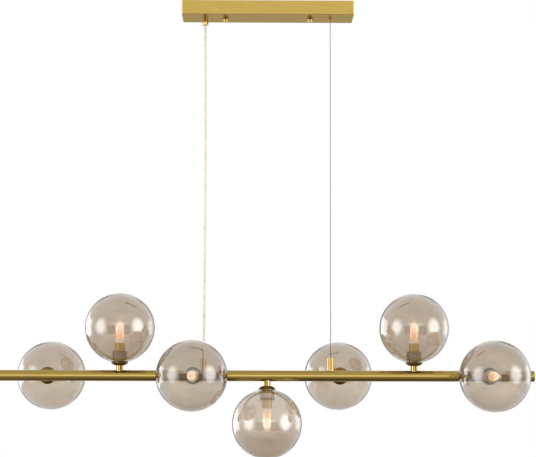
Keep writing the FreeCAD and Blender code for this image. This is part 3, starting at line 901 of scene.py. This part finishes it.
# ---- the object's parts ----
@dataclass
class Hanger:
    """A line from the canopy to the bar, pulled straight.

    Attributes:
        name: the CAD node's name.
        x: its place along the bar.
        top: height of its upper end, in the canopy.
        bottom: height of its lower end, in the bar's barrel.
        diameter: its outer diameter.
        bow: how far its middle control point stands off the straight line.
    """

    name: str
    x: float
    top: float
    bottom: float
    diameter: float
    bow: float = 0.0

    def route(self, bevel: float = 0.0) -> Piece:
        """Draws the line's smooth route as a curve with one open spline.

        Args:
            bevel: radius of the tube round it, or 0 for the bare line.

        Returns:
            The curve object.
        """
        data = bpy.data.curves.new(f"{self.name}_route", "CURVE")
        data.dimensions = "3D"
        data.bevel_depth, data.bevel_resolution, data.use_fill_caps = bevel, 4, bevel > 0
        middle = (self.top + self.bottom) / 2
        spline = data.splines.new("NURBS")
        spline.points.add(2)
        for point, place in zip(spline.points, ((self.x, 0, self.top),
                                                (self.x + self.bow, 0, middle),
                                                (self.x, 0, self.bottom))):
            point.co = (*place, 1)
        spline.order_u, spline.use_endpoint_u, spline.resolution_u = 3, True, ROUTE_STEPS
        curve = bpy.data.objects.new(f"{self.name}_route", data)
        bpy.context.scene.collection.objects.link(curve)
        return curve

    def centreline(self) -> list[Vector]:
        """Reads the points that the bare route follows.

        Returns:
            The points, from the top down.
        """
        curve = self.route()
        mesh = bpy.data.meshes.new_from_object(curve)
        points = [vertex.co.copy() for vertex in mesh.vertices]
        bpy.data.meshes.remove(mesh)
        bpy.data.objects.remove(curve)
        return points

    def at(self, points: Sequence[Vector], share: float) -> Vector:
        """Finds a place on the centreline.

        Args:
            points: the centreline's points.
            share: its share of the way down.

        Returns:
            The place.
        """
        place = share * (len(points) - 1)
        low = min(int(place), len(points) - 2)
        return points[low].lerp(points[low + 1], place - low)

    def tube(self, name: str) -> Piece:
        """Makes the line's outer tube.

        Args:
            name: the piece's name.

        Returns:
            The tube as a mesh.
        """
        curve = self.route(self.diameter / 2)
        Workbench.hold(curve)
        bpy.ops.object.convert(target="MESH")
        curve.name = name
        bpy.ops.object.shade_smooth_by_angle(angle=TUBE_ANGLE)
        return curve

    def strands(self, name: str, count: int, thickness: float, radius: float,
                pitch: float) -> Piece:
        """Twists round strands about the centreline.

        Args:
            name: the piece's name.
            count: number of strands.
            thickness: diameter of one strand.
            radius: distance of a strand's middle from the centreline.
            pitch: length of one turn.

        Returns:
            The strands as one mesh.
        """
        points = self.centreline()
        steps = int((self.top - self.bottom) / pitch * TURN_STEPS)
        data = bpy.data.curves.new(name, "CURVE")
        data.dimensions = "3D"
        data.bevel_depth, data.bevel_resolution, data.use_fill_caps = thickness / 2, 1, True
        for strand in range(count):
            spline = data.splines.new("POLY")
            spline.points.add(steps)
            for step, point in enumerate(spline.points):
                turn = math.tau * (strand / count + step / TURN_STEPS)
                side = Vector((math.cos(turn), math.sin(turn), 0)) * radius
                point.co = (*(self.at(points, step / steps) + side), 1)
        piece = bpy.data.objects.new(name, data)
        bpy.context.scene.collection.objects.link(piece)
        Workbench.hold(piece)
        bpy.ops.object.convert(target="MESH")
        bpy.ops.object.shade_smooth()
        return piece

    def take_in(self, piece: Piece) -> None:
        """Gives a piece its own copy of its mesh."""
        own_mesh(piece)


@dataclass
class Suspension:
    """The clear power cord and the steel wire between the canopy and the bar.

    Attributes:
        cord: the power cord's route.
        wire: the steel wire's route.
        core_count: number of cores in the cord.
        core_thickness: diameter of a core.
        core_radius: distance of a core's middle from the cord's.
        core_pitch: length of one turn of the cores.
        strand_count: number of strands in the wire.
        strand_pitch: length of one turn of the strands.
    """

    cord: Hanger = field(default_factory=lambda: Hanger(
        "power_cord", CORD_X, -20 * MM, -750.5 * MM, 5 * MM, bow=4 * MM))
    wire: Hanger = field(default_factory=lambda: Hanger(
        "steel_wire", WIRE_X, -8.5 * MM, -727.8 * MM, 1.5 * MM))
    core_count: int = 2
    core_thickness: float = 1.7 * MM
    core_radius: float = 1.1 * MM
    core_pitch: float = 34 * MM
    strand_count: int = 6
    strand_pitch: float = 11 * MM

    def build(self) -> None:
        cores = self.cord.strands("cord_cores", self.core_count, self.core_thickness,
                                  self.core_radius, self.core_pitch)
        fit(cores, CORE_PVC, "canopy")
        jacket = self.cord.tube("cord_jacket")
        fit(jacket, CLEAR_PVC, "canopy", ["power_cord"])
        self.cord.centreline()
        rope = self.wire.strands("wire_strands", self.strand_count, self.wire.diameter / 3,
                                 self.wire.diameter / 3, self.strand_pitch)
        fit(rope, STRAND_STEEL, "canopy", ["steel_wire"])
        self.wire.centreline()
        for line, pieces in ((self.cord, (cores, jacket)), (self.wire, (rope,))):
            for piece in pieces:
                line.take_in(piece)


@dataclass
class Canopy:
    """The ceiling canopy with its bracket, nuts, gland, gripper and terminals.

    Attributes:
        underside: height of the canopy's lower face.
        nut_x: places of the cap nuts along the canopy.
        nut_radius: outer radius of a nut's knurled grip.
        nut_height: height of a nut.
        nut_bore: radius of the stud that a nut's grip closes round.
        nut_edge: width of the broken edges of its grip.
        dome_radius: radius of its domed end.
        dome_tip: radius at which the dome's outline starts.
        dome_corners: corners of the dome, in mm out from its side and up from its low end.
        knurl_depth: depth of the grip's grooves.
        knurls: number of grooves.
        terminal_x: place of the terminal block along the canopy.
        terminal_face: height of the block's lower face.
        terminal_pitch: distance between two terminals.
        screw_radius: radius of a terminal screw's head.
        screw_ends: heights of the head's lower and upper end, from the screw's own level.
        screw_sunk: how far that level lies inside the block.
        slot_width: width of the slot across the head.
        slot_depth: its depth.
        slot_turns: turn of the middle slot, and from slot to slot, in radians, so that the
            slots stand as chance left them.
    """

    underside: float = -28.5 * MM
    nut_x: tuple[float, float] = (-86 * MM, 86 * MM)
    nut_radius: float = 5.75 * MM
    nut_height: float = 8.4 * MM
    nut_bore: float = 2.05 * MM
    nut_edge: float = 0.6 * MM
    dome_radius: float = 4.15 * MM
    dome_tip: float = 0.3 * MM
    dome_corners: Outline = ((-1.6, 0.1), (-0.5, 0.6), (0.0, 1.6))
    knurl_depth: float = 0.3 * MM
    knurls: int = 26
    terminal_x: float = -104 * MM
    terminal_face: float = -14 * MM
    terminal_pitch: float = 9.5 * MM
    screw_radius: float = 1.7 * MM
    screw_ends: tuple[float, float] = (-0.2 * MM, 1.5 * MM)
    screw_sunk: float = 0.4 * MM
    slot_width: float = 0.7 * MM
    slot_depth: float = 0.8 * MM
    slot_turns: tuple[float, float] = (0.4, 0.7)

    def cap_nut(self) -> Piece:
        """Turns a cap nut with a knurled grip and a domed end.

        Returns:
            The finished nut, in place but for its shift along the canopy.
        """
        radius, dome, top = self.nut_radius, self.dome_radius, self.underside
        low, step, edge = top - self.nut_height, top - self.nut_height / 2, self.nut_edge
        outline = [(self.dome_tip, low),
                   *[(dome + out * MM, low + up * MM) for out, up in self.dome_corners],
                   (dome, step), (radius - edge, step), (radius, step + edge),
                   (radius, top - edge), (radius - edge, top), (self.nut_bore, top)]
        nut = Workbench.lathe("cap_nut", outline, 2 * self.knurls)
        bpy.ops.object.mode_set(mode="EDIT")
        half_tooth = math.tau / self.knurls / 2

        def in_groove(place: Vector) -> bool:
            """True for every second upright row of the grip."""
            row = round((math.atan2(place.y, place.x) % math.tau) / half_tooth)
            return place.xy.length > radius - edge / 2 and row % 2 == 1

        Workbench.pick_vertices(nut, in_groove)
        inwards = 1 - self.knurl_depth / radius
        bpy.ops.transform.resize(value=(inwards, inwards, 1), center_override=(0, 0, 0))
        bpy.ops.object.mode_set(mode="OBJECT")
        return Workbench.finish(nut)

    def slotted_screw(self) -> Piece:
        """Makes a terminal's screw head with a slot across it, facing down.

        Returns:
            The finished head, round the Z axis.
        """
        screw = Workbench.lathe("terminal_screw",
                                [(self.screw_radius, end) for end in self.screw_ends], 32)
        bpy.ops.object.mode_set(mode="EDIT")
        half = self.slot_width / 2
        for side in (-half, half):
            bpy.ops.mesh.select_all(action="SELECT")
            bpy.ops.mesh.bisect(plane_co=(side, 0, 0), plane_no=(1, 0, 0))
        Workbench.pick_faces(screw, lambda middle, normal: normal.z < -0.5
                             and abs(middle.x) < half)
        bpy.ops.mesh.extrude_region_move(TRANSFORM_OT_translate={"value": (0, 0, self.slot_depth)})
        Workbench.close_up(screw)
        return Workbench.finish(screw)

    def build(self) -> None:
        """Models the small pieces and dresses the canopy's nodes."""
        nut = self.cap_nut()
        pair = [Workbench.copied(nut, f"cap_nut_{i}", Matrix.Translation((x, 0, 0)))
                for i, x in enumerate(self.nut_x)]
        bpy.data.objects.remove(nut)
        fit(Workbench.joined("knurled_nuts", pair), TURNED_BRASS, "canopy",
            ["knurled_cap_nuts"])
        screw = self.slotted_screw()
        first_turn, next_turn = self.slot_turns
        for way in (-1, 0, 1):
            place = (self.terminal_x, way * self.terminal_pitch,
                     self.terminal_face + self.screw_sunk)
            turned = Matrix.Translation(place) @ \
                Matrix.Rotation(next_turn * way + first_turn, 4, "Z")
            copy = Workbench.copied(screw, f"terminal_screw_{way + 2}", turned)
            fit(copy, ZINC, "canopy")
        bpy.data.objects.remove(screw)
        dress(CANOPY_BRASS, "canopy_cover")
        dress(ZINC, "ceiling_bracket", "bracket_studs", "stud_lock_nuts", "earth_screw",
              "gland_lock_nut", "gripper_lock_nut")
        dress(TURNED_BRASS, "gland_body", "gland_cap", "wire_gripper", "gripper_plunger",
              "knurled_cap_nuts")
        dress(TERMINAL_PLASTIC, "terminal_block")
        dress(CORE_PVC, "canopy_leads", "power_cord")
        dress(STRAND_STEEL, "steel_wire")


@dataclass
class Bar:
    """The long tube with its caps, suspension barrels and wiring."""

    def build(self) -> None:
        """Dresses the bar's nodes."""
        dress(BAR_BRASS, "bar_tube", "end_cap_left", "end_cap_right")
        dress(TURNED_BRASS, "cord_barrel_base", "cord_barrel_cap", "wire_barrel_base",
              "wire_barrel_cap", "stem_sleeves")
        dress(TERMINAL_PLASTIC, "cord_clamp")
        dress(ZINC, "wire_ferrule", "barrel_bosses", "tube_bosses", "hollow_nipples",
              "nipple_nuts")
        dress(CORE_PVC, "bar_wiring", "lamp_leads")


@dataclass
class LampFittings:
    """The dish, threaded shell, cup and holder of every lamp.

    Attributes:
        thread_low: distance from the bar's axis to the thread's start.
        thread_high: distance from it to the thread's end.
        thread_pitch: distance between two ridges.
        shell_radius: outer radius of the bare shell.
        proud: how far the thread's flat ends and its roots stand off the shell.
        crest: height of a ridge.
        ridge: corners of a ridge, in mm up from its start and as shares of its height.
    """

    thread_low: float = 28 * MM
    thread_high: float = 44 * MM
    thread_pitch: float = 2 * MM
    shell_radius: float = 12.4 * MM
    proud: tuple[float, float] = (0.01 * MM, 0.03 * MM)
    crest: float = 0.22 * MM
    ridge: Outline = ((0.2, 0.0), (0.6, 0.8), (1.0, 1.0), (1.4, 0.8), (1.8, 0.0))

    def neck_thread(self) -> Piece:
        """Turns the rounded ridges that a globe's neck screws over.

        Returns:
            The finished ridges, round the Z axis.
        """
        flat, root = [self.shell_radius + step for step in self.proud]
        turns = round((self.thread_high - self.thread_low) / self.thread_pitch)
        starts = [self.thread_low + turn * self.thread_pitch for turn in range(turns)]
        outline = [(flat, self.thread_low),
                   *[(root + self.crest * share, start + up * MM)
                     for start in starts for up, share in self.ridge],
                   (flat, self.thread_high), (flat, self.thread_low)]
        return Workbench.finish(Workbench.lathe("neck_thread", outline, 64, Ends.JOINED))

    def build(self) -> None:
        """Models the threads and dresses the lamps' fixed nodes."""
        thread = self.neck_thread()
        for number in range(LAMP_COUNT):
            copy = Workbench.copied(thread, f"neck_thread_{number + 1}", lamp_place(number))
            fit(copy, NICKEL, "bar")
        bpy.data.objects.remove(thread)
        dress(SPUN_BRASS, "globe_dishes")
        dress(NICKEL, "threaded_shells")
        dress(SLEEVE_BRASS, "holder_sleeves")
        dress(SILICONE, "silicone_washers")
        dress(CERAMIC, "lampholders")


@dataclass
class Bulbs:
    """The plug-in bulbs: glass, collar and the filament strips inside.

    Attributes:
        seat: distance from the bar's axis to the collar's end.
        strip_low: distance from it to the strips' lower ends.
        strip_high: distance from it to their upper ends.
        strip_radius: radius of a strip.
        strip_round: length of a strip's rounded end.
        circle: distance of a strip from the bulb's axis.
        strips: number of strips.
        support_thickness: diameter of a support wire.
        support_gap: how far past the strips the support wires start to bend.
        foot_corners: corners of the foot: radius and height over the seat, in mm.
        foot_edge: width of its rounded edges.
    """

    seat: float = 73.5 * MM
    strip_low: float = 78 * MM
    strip_high: float = 98 * MM
    strip_radius: float = 0.8 * MM
    strip_round: float = 0.4 * MM
    circle: float = 3.0 * MM
    strips: int = 4
    support_thickness: float = 0.5 * MM
    support_gap: float = 0.3 * MM
    foot_corners: Outline = ((5.6, 0.0), (5.2, 1.2), (2.2, 3.4), (1.6, 4.2))
    foot_edge: float = 0.3 * MM

    def filament_strips(self) -> Piece:
        """Makes the upright filament strips, each with softly rounded ends.

        Returns:
            The strips as one finished piece, round the Z axis.
        """
        outline = [(self.strip_radius / 2, self.strip_low),
                   (self.strip_radius, self.strip_low + self.strip_round),
                   (self.strip_radius, self.strip_high - self.strip_round),
                   (self.strip_radius / 2, self.strip_high)]
        strip = Workbench.finish(Workbench.lathe("strip", outline, 12))
        around = []
        for i in range(self.strips):
            turn = math.tau * (i + 0.5) / self.strips
            side = (self.circle * math.cos(turn), self.circle * math.sin(turn), 0)
            around.append(Workbench.copied(strip, f"strip_{i}", Matrix.Translation(side)))
        bpy.data.objects.remove(strip)
        return Workbench.joined("filaments", around)

    def supports(self) -> Piece:
        """Bends the two crossed support wires over the strips.

        Returns:
            The wires as one finished piece, round the Z axis.
        """
        wires = []
        for i in range(self.strips // 2):
            wire = Workbench.hairpin(f"hairpin_{i}", 2 * self.circle, self.seat,
                                     self.strip_high + self.support_gap,
                                     self.support_thickness)
            wire = Workbench.finish(wire)
            wire.data.transform(Matrix.Rotation(math.tau * (i + 0.5) / self.strips, 4, "Z"))
            wires.append(wire)
        return Workbench.joined("supports", wires)

    def foot(self) -> Piece:
        """Turns the pressed foot that the wires come out of.

        Returns:
            The finished foot, round the Z axis.
        """
        outline = [(wide * MM, self.seat + up * MM) for wide, up in self.foot_corners]
        return Workbench.finish(Workbench.lathe("foot", outline, 24), self.foot_edge)

    def build(self) -> None:
        """Puts the inside into every bulb and dresses the bulbs' nodes."""
        inside = ((self.filament_strips(), FILAMENT, "filaments"),
                  (self.supports(), SUPPORT_WIRE, "filament_supports"),
                  (self.foot(), CERAMIC, "filament_foot"))
        for number in range(LAMP_COUNT):
            body = f"bulb_body_{number + 1}"
            for piece, finish, name in inside:
                copy = Workbench.copied(piece, f"{name}_{number + 1}", lamp_place(number))
                fit(copy, finish, body)
            dress(BULB_GLASS, f"bulb_glass_{number + 1}")
            dress(LIT_CERAMIC, f"bulb_base_{number + 1}")
        for piece, _, _ in inside:
            bpy.data.objects.remove(piece)


@dataclass
class Globes:
    """The seven blown globes."""

    def build(self) -> None:
        """Dresses the globes' nodes."""
        dress(SMOKED_GLASS, *[f"globe_{number + 1}" for number in range(LAMP_COUNT)])


# ---- the studio ----
@dataclass(frozen=True)
class Patch:
    """A soft box, a panel or a dark flag of the studio, as metal and glass mirror it.

    Attributes:
        side: its middle, in degrees round from the front towards +X.
        height: its middle, in degrees above level.
        half_width: half of its width in degrees.
        half_height: half of its height in degrees.
        bright: its brightness.
        soft: share of its half sizes over which it fades out.
        oval: whether it is oval, and not square.
    """

    side: float
    height: float
    half_width: float
    half_height: float
    bright: float
    soft: float = 0.3
    oval: bool = False


# What the globes and the bar mirror, the later ones over the earlier: dark flags and a bright
# band and panel in front, a soft box on each side, the lit sides of the sweep behind the object
# and, further round, two dark flags, which draw the globes' dark rims.
FLAGS = tuple(Patch(side, -8, 14, 15, 0.02, soft=0.2) for side in (-25, 25))
BAND = Patch(0, 11.5, 28, 5, 2.0)
PANEL = Patch(0, 3, 12, 13, 2.2, soft=0.2)
SOFT_BOXES = (Patch(-64, 4, 27, 30, 4.6, soft=0.75, oval=True),
              Patch(65, 5, 29, 30, 5.2, soft=0.65, oval=True))
SWEEP_SIDES = (Patch(-124, 2, 24, 17, 3.2, soft=0.35), Patch(122, 2, 17, 15, 2.4, soft=0.5))
EDGE_FLAGS = tuple(Patch(side, 0, 10, 44, 0.3, soft=0.4) for side in (-160, 160))
PATCHES = (*FLAGS, BAND, PANEL, *SOFT_BOXES, *SWEEP_SIDES, *EDGE_FLAGS)
# The room's brightness behind them, from straight down to straight up, by degrees above level.
ROOM_STEPS = ((-90, 0.5), (-40, 0.6), (-25, 0.65), (-10, 0.9), (0, 1.1), (30, 1.0), (67, 0.95),
              (90, 0.8))


@dataclass
class Studio:
    """Pale floor, soft boxes, white surroundings and the camera at the photograph's place.

    The camera's place and aim follow from where the globes, the bar and the canopy stand in
    the photograph, and how large they are there.

    Attributes:
        focal: the camera's focal length in mm on a 36 mm wide frame.
        distance: from the camera to the bar's axis.
        aside: how far the camera stands towards -X.
        pitch: how far the camera looks up, in degrees.
        yaw: how far the camera looks towards +X, in degrees.
        roll: how far the picture is turned, in degrees.
        floor_height: height of the floor.
        floor_size: width and depth of the floor.
        floor_tones: the floor's colour at its middle and far from it, sRGB hex.
        floor_pale: distances from its middle between which it turns from one to the other.
        floor_white: share of pure white in what the camera sees of it.
        sheen_reach: distances from its middle between which metal sees it turn white.
        sheen: share of white that it has there.
        box_size: width and height of a soft box's lamp.
        box_place: middle of the right soft box's lamp.
        box_power: power of a soft box's lamp in watts.
    """

    focal: float = 107.73
    distance: float = 3.226
    aside: float = 0.03
    pitch: float = 5.249
    yaw: float = 0.557
    roll: float = 0.12
    floor_height: float = -1.9
    floor_size: float = 5.0
    floor_tones: tuple[str, str] = ("#6A665E", "#E0DBD2")
    floor_pale: tuple[float, float] = (0.4, 3.2)
    floor_white: float = 0.85
    sheen_reach: tuple[float, float] = (0.8, 2.5)
    sheen: float = 0.4
    box_size: tuple[float, float] = (1.9, 2.6)
    box_place: Point = (2.9, -1.5, -0.62)
    box_power: float = 10.0

    def camera(self) -> None:
        """Sets the camera up, level with the bar and looking slightly up."""
        data = bpy.data.cameras.new("camera")
        data.lens, data.sensor_width = self.focal, 36.0
        data.clip_start, data.clip_end = 0.05, 60.0
        camera = bpy.data.objects.new("camera", data)
        bpy.context.scene.collection.objects.link(camera)
        place = Matrix.Translation((-self.aside, -self.distance, -DROP))
        aim = Matrix.Rotation(math.radians(-self.yaw), 4, "Z") @ \
            Matrix.Rotation(math.radians(90 + self.pitch), 4, "X")
        camera.matrix_world = place @ aim @ Matrix.Rotation(math.radians(self.roll), 4, "Z")
        bpy.context.scene.camera = camera

    def soft_box(self, name: str, place: Point, size: tuple[float, float], power: float) -> None:
        """Hangs an oval lamp that faces the bar's middle and isn't itself mirrored.

        Args:
            name: the lamp's name.
            place: its middle.
            size: its width and height.
            power: its power in watts.
        """
        data = bpy.data.lights.new(name, "AREA")
        data.shape, data.size, data.size_y, data.energy = "ELLIPSE", *size, power
        lamp = bpy.data.objects.new(name, data)
        lamp.visible_glossy = False
        bpy.context.scene.collection.objects.link(lamp)
        towards = Vector((0, 0, -DROP)) - Vector(place)
        lamp.matrix_world = Matrix.Translation(place) @ \
            towards.to_track_quat("-Z", "Y").to_matrix().to_4x4()

    def floor(self) -> None:
        """Lays the pale floor: near white to the camera, and dimmer where metal mirrors it."""
        Workbench.clear_selection()
        bpy.ops.mesh.primitive_plane_add(size=self.floor_size,
                                         location=(0, 0, self.floor_height))
        floor = bpy.context.active_object
        floor.name = "floor"
        material = bpy.data.materials.new("pale floor")
        material.use_nodes = True
        tree = material.node_tree
        tree.nodes.clear()
        place = add_node(tree, "ShaderNodeTexCoord").outputs["Object"]
        away = add_node(tree, "ShaderNodeVectorMath", {"operation": "LENGTH"}, {0: place})
        grain = add_node(tree, "ShaderNodeTexNoise", inputs={
            "Vector": place, "Scale": 1.5, "Detail": 3.0})
        spread = add_node(tree, "ShaderNodeMath", {"operation": "MULTIPLY_ADD"}, {
            0: grain.outputs["Fac"], 1: 0.2, 2: away.outputs["Value"]})
        near, far = self.floor_pale
        paler = add_node(tree, "ShaderNodeMapRange", inputs={
            "Value": spread.outputs[0], "From Min": near, "From Max": far})
        near_tone, far_tone = self.floor_tones
        tone = add_node(tree, "ShaderNodeMix", COLOURS, {
            "Factor": paler.outputs[0], 6: linear(near_tone), 7: linear(far_tone)})
        laid = add_node(tree, "ShaderNodeBsdfDiffuse", inputs={"Color": tone.outputs[2]})
        white = add_node(tree, "ShaderNodeEmission", inputs={"Color": linear(WHITE),
                                                            "Strength": 1.0})
        sheen_near, sheen_far = self.sheen_reach
        distant = add_node(tree, "ShaderNodeMapRange", SMOOTH, {
            "Value": away.outputs["Value"], "From Min": sheen_near, "From Max": sheen_far,
            "To Min": 0.0, "To Max": self.sheen})
        mirrored = add_node(tree, "ShaderNodeMath", {"operation": "MULTIPLY"}, {
            0: add_node(tree, "ShaderNodeLightPath").outputs["Is Glossy Ray"],
            1: distant.outputs[0]})
        share = add_node(tree, "ShaderNodeMath", {"operation": "MULTIPLY_ADD"}, {
            0: self.seen_through(tree), 1: self.floor_white, 2: mirrored.outputs[0]})
        both = add_node(tree, "ShaderNodeMixShader", inputs={
            0: share.outputs[0], 1: laid.outputs[0], 2: white.outputs[0]})
        add_node(tree, "ShaderNodeOutputMaterial", inputs={"Surface": both.outputs[0]})
        floor.data.materials.append(material)

    @staticmethod
    def light(bright: float) -> Rgba:
        """The studio's barely warm light at a brightness."""
        return bright, bright, bright * STUDIO_BLUE, 1.0

    @staticmethod
    def seen_through(tree: bpy.types.NodeTree) -> Socket:
        """Tells what is seen straight or through glass from what only lights or is mirrored.

        Args:
            tree: the material's or the world's node tree.

        Returns:
            1 on what is seen, and otherwise 0.
        """
        path = add_node(tree, "ShaderNodeLightPath")
        seen = add_node(tree, "ShaderNodeMath", {"operation": "MAXIMUM"}, {
            0: path.outputs["Is Camera Ray"], 1: path.outputs["Is Transmission Ray"]})
        return seen.outputs[0]

    @staticmethod
    def covered(tree: bpy.types.NodeTree, side: Socket, height: Socket, patch: Patch) -> Socket:
        """Finds how far a patch covers a direction.

        Args:
            tree: the world's node tree.
            side: the direction's angle round from the front.
            height: the direction's angle above level.
            patch: the patch.

        Returns:
            1 inside the patch, 0 outside it, and between them in its soft edge.
        """
        shares = []
        for angle, middle, half in ((side, patch.side, patch.half_width),
                                    (height, patch.height, patch.half_height)):
            scaled = add_node(tree, "ShaderNodeMath", {"operation": "MULTIPLY_ADD"}, {
                0: angle, 1: 1 / math.radians(half), 2: -middle / half})
            shares.append(add_node(tree, "ShaderNodeMath", {"operation": "ABSOLUTE"},
                                   {0: scaled.outputs[0]}).outputs[0])
        if patch.oval:
            pair = add_node(tree, "ShaderNodeCombineXYZ", inputs={0: shares[0], 1: shares[1]})
            out = add_node(tree, "ShaderNodeVectorMath", {"operation": "LENGTH"},
                           {0: pair.outputs[0]}).outputs["Value"]
        else:
            out = add_node(tree, "ShaderNodeMath", {"operation": "MAXIMUM"},
                           {0: shares[0], 1: shares[1]}).outputs[0]
        within = add_node(tree, "ShaderNodeMapRange", SMOOTH, {
            "Value": out, "From Min": 1 - patch.soft, "From Max": 1.0, "To Min": 1.0,
            "To Max": 0.0})
        return within.outputs[0]

    def surroundings(self) -> None:
        """Builds the white room with its soft boxes and flags, which metal and glass mirror."""
        world = bpy.data.worlds.new("studio")
        bpy.context.scene.world = world
        world.use_nodes = True
        tree = world.node_tree
        tree.nodes.clear()
        way = add_node(tree, "ShaderNodeSeparateXYZ", inputs={
            0: add_node(tree, "ShaderNodeTexCoord").outputs["Generated"]})
        height = add_node(tree, "ShaderNodeMath", {"operation": "ARCSINE"},
                          {0: way.outputs["Z"]}).outputs[0]
        level = add_node(tree, "ShaderNodeMapRange", inputs={
            "Value": height, "From Min": -math.pi / 2, "From Max": math.pi / 2})
        ramp = add_node(tree, "ShaderNodeValToRGB", inputs={0: level.outputs[0]})
        ramp.color_ramp.elements.remove(ramp.color_ramp.elements[1])
        for i, (degrees, bright) in enumerate(ROOM_STEPS):
            place = degrees / 180 + 0.5
            element = ramp.color_ramp.elements[0] if i == 0 else \
                ramp.color_ramp.elements.new(place)
            element.position, element.color = place, self.light(bright)
        front = add_node(tree, "ShaderNodeMath", {"operation": "MULTIPLY"}, {
            0: way.outputs["Y"], 1: -1.0})
        side = add_node(tree, "ShaderNodeMath", {"operation": "ARCTAN2"}, {
            0: way.outputs["X"], 1: front.outputs[0]}).outputs[0]
        shown = ramp.outputs[0]
        for patch in PATCHES:
            shown = add_node(tree, "ShaderNodeMix", COLOURS, {
                "Factor": self.covered(tree, side, height, patch), 6: shown,
                7: self.light(patch.bright)}).outputs[2]
        room = add_node(tree, "ShaderNodeBackground", inputs={"Color": shown, "Strength": 1.0})
        white = add_node(tree, "ShaderNodeBackground", inputs={
            "Color": linear(WHITE), "Strength": 1.0})
        both = add_node(tree, "ShaderNodeMixShader", inputs={
            0: self.seen_through(tree), 1: room.outputs[0], 2: white.outputs[0]})
        add_node(tree, "ShaderNodeOutputWorld", inputs={"Surface": both.outputs[0]})

    def build(self) -> None:
        """Sets up the camera, the lamps, the floor and the room."""
        self.camera()
        self.floor()
        self.surroundings()
        x, y, z = self.box_place
        for name, side in (("left soft box", -1), ("right soft box", 1)):
            self.soft_box(name, (side * x, y, z), self.box_size, self.box_power)
        bpy.context.scene.view_settings.view_transform = "Standard"


def main() -> None:
    """Builds the studio, then the object from the ceiling down."""
    logging.basicConfig(level=logging.INFO, format="%(name)s: %(message)s")
    for part in (Studio(), Suspension(), Canopy(), Bar(), LampFittings(), Bulbs(), Globes()):
        part.build()
        log.info("%s is done", type(part).__name__)


if __name__ == "__main__":
    main()
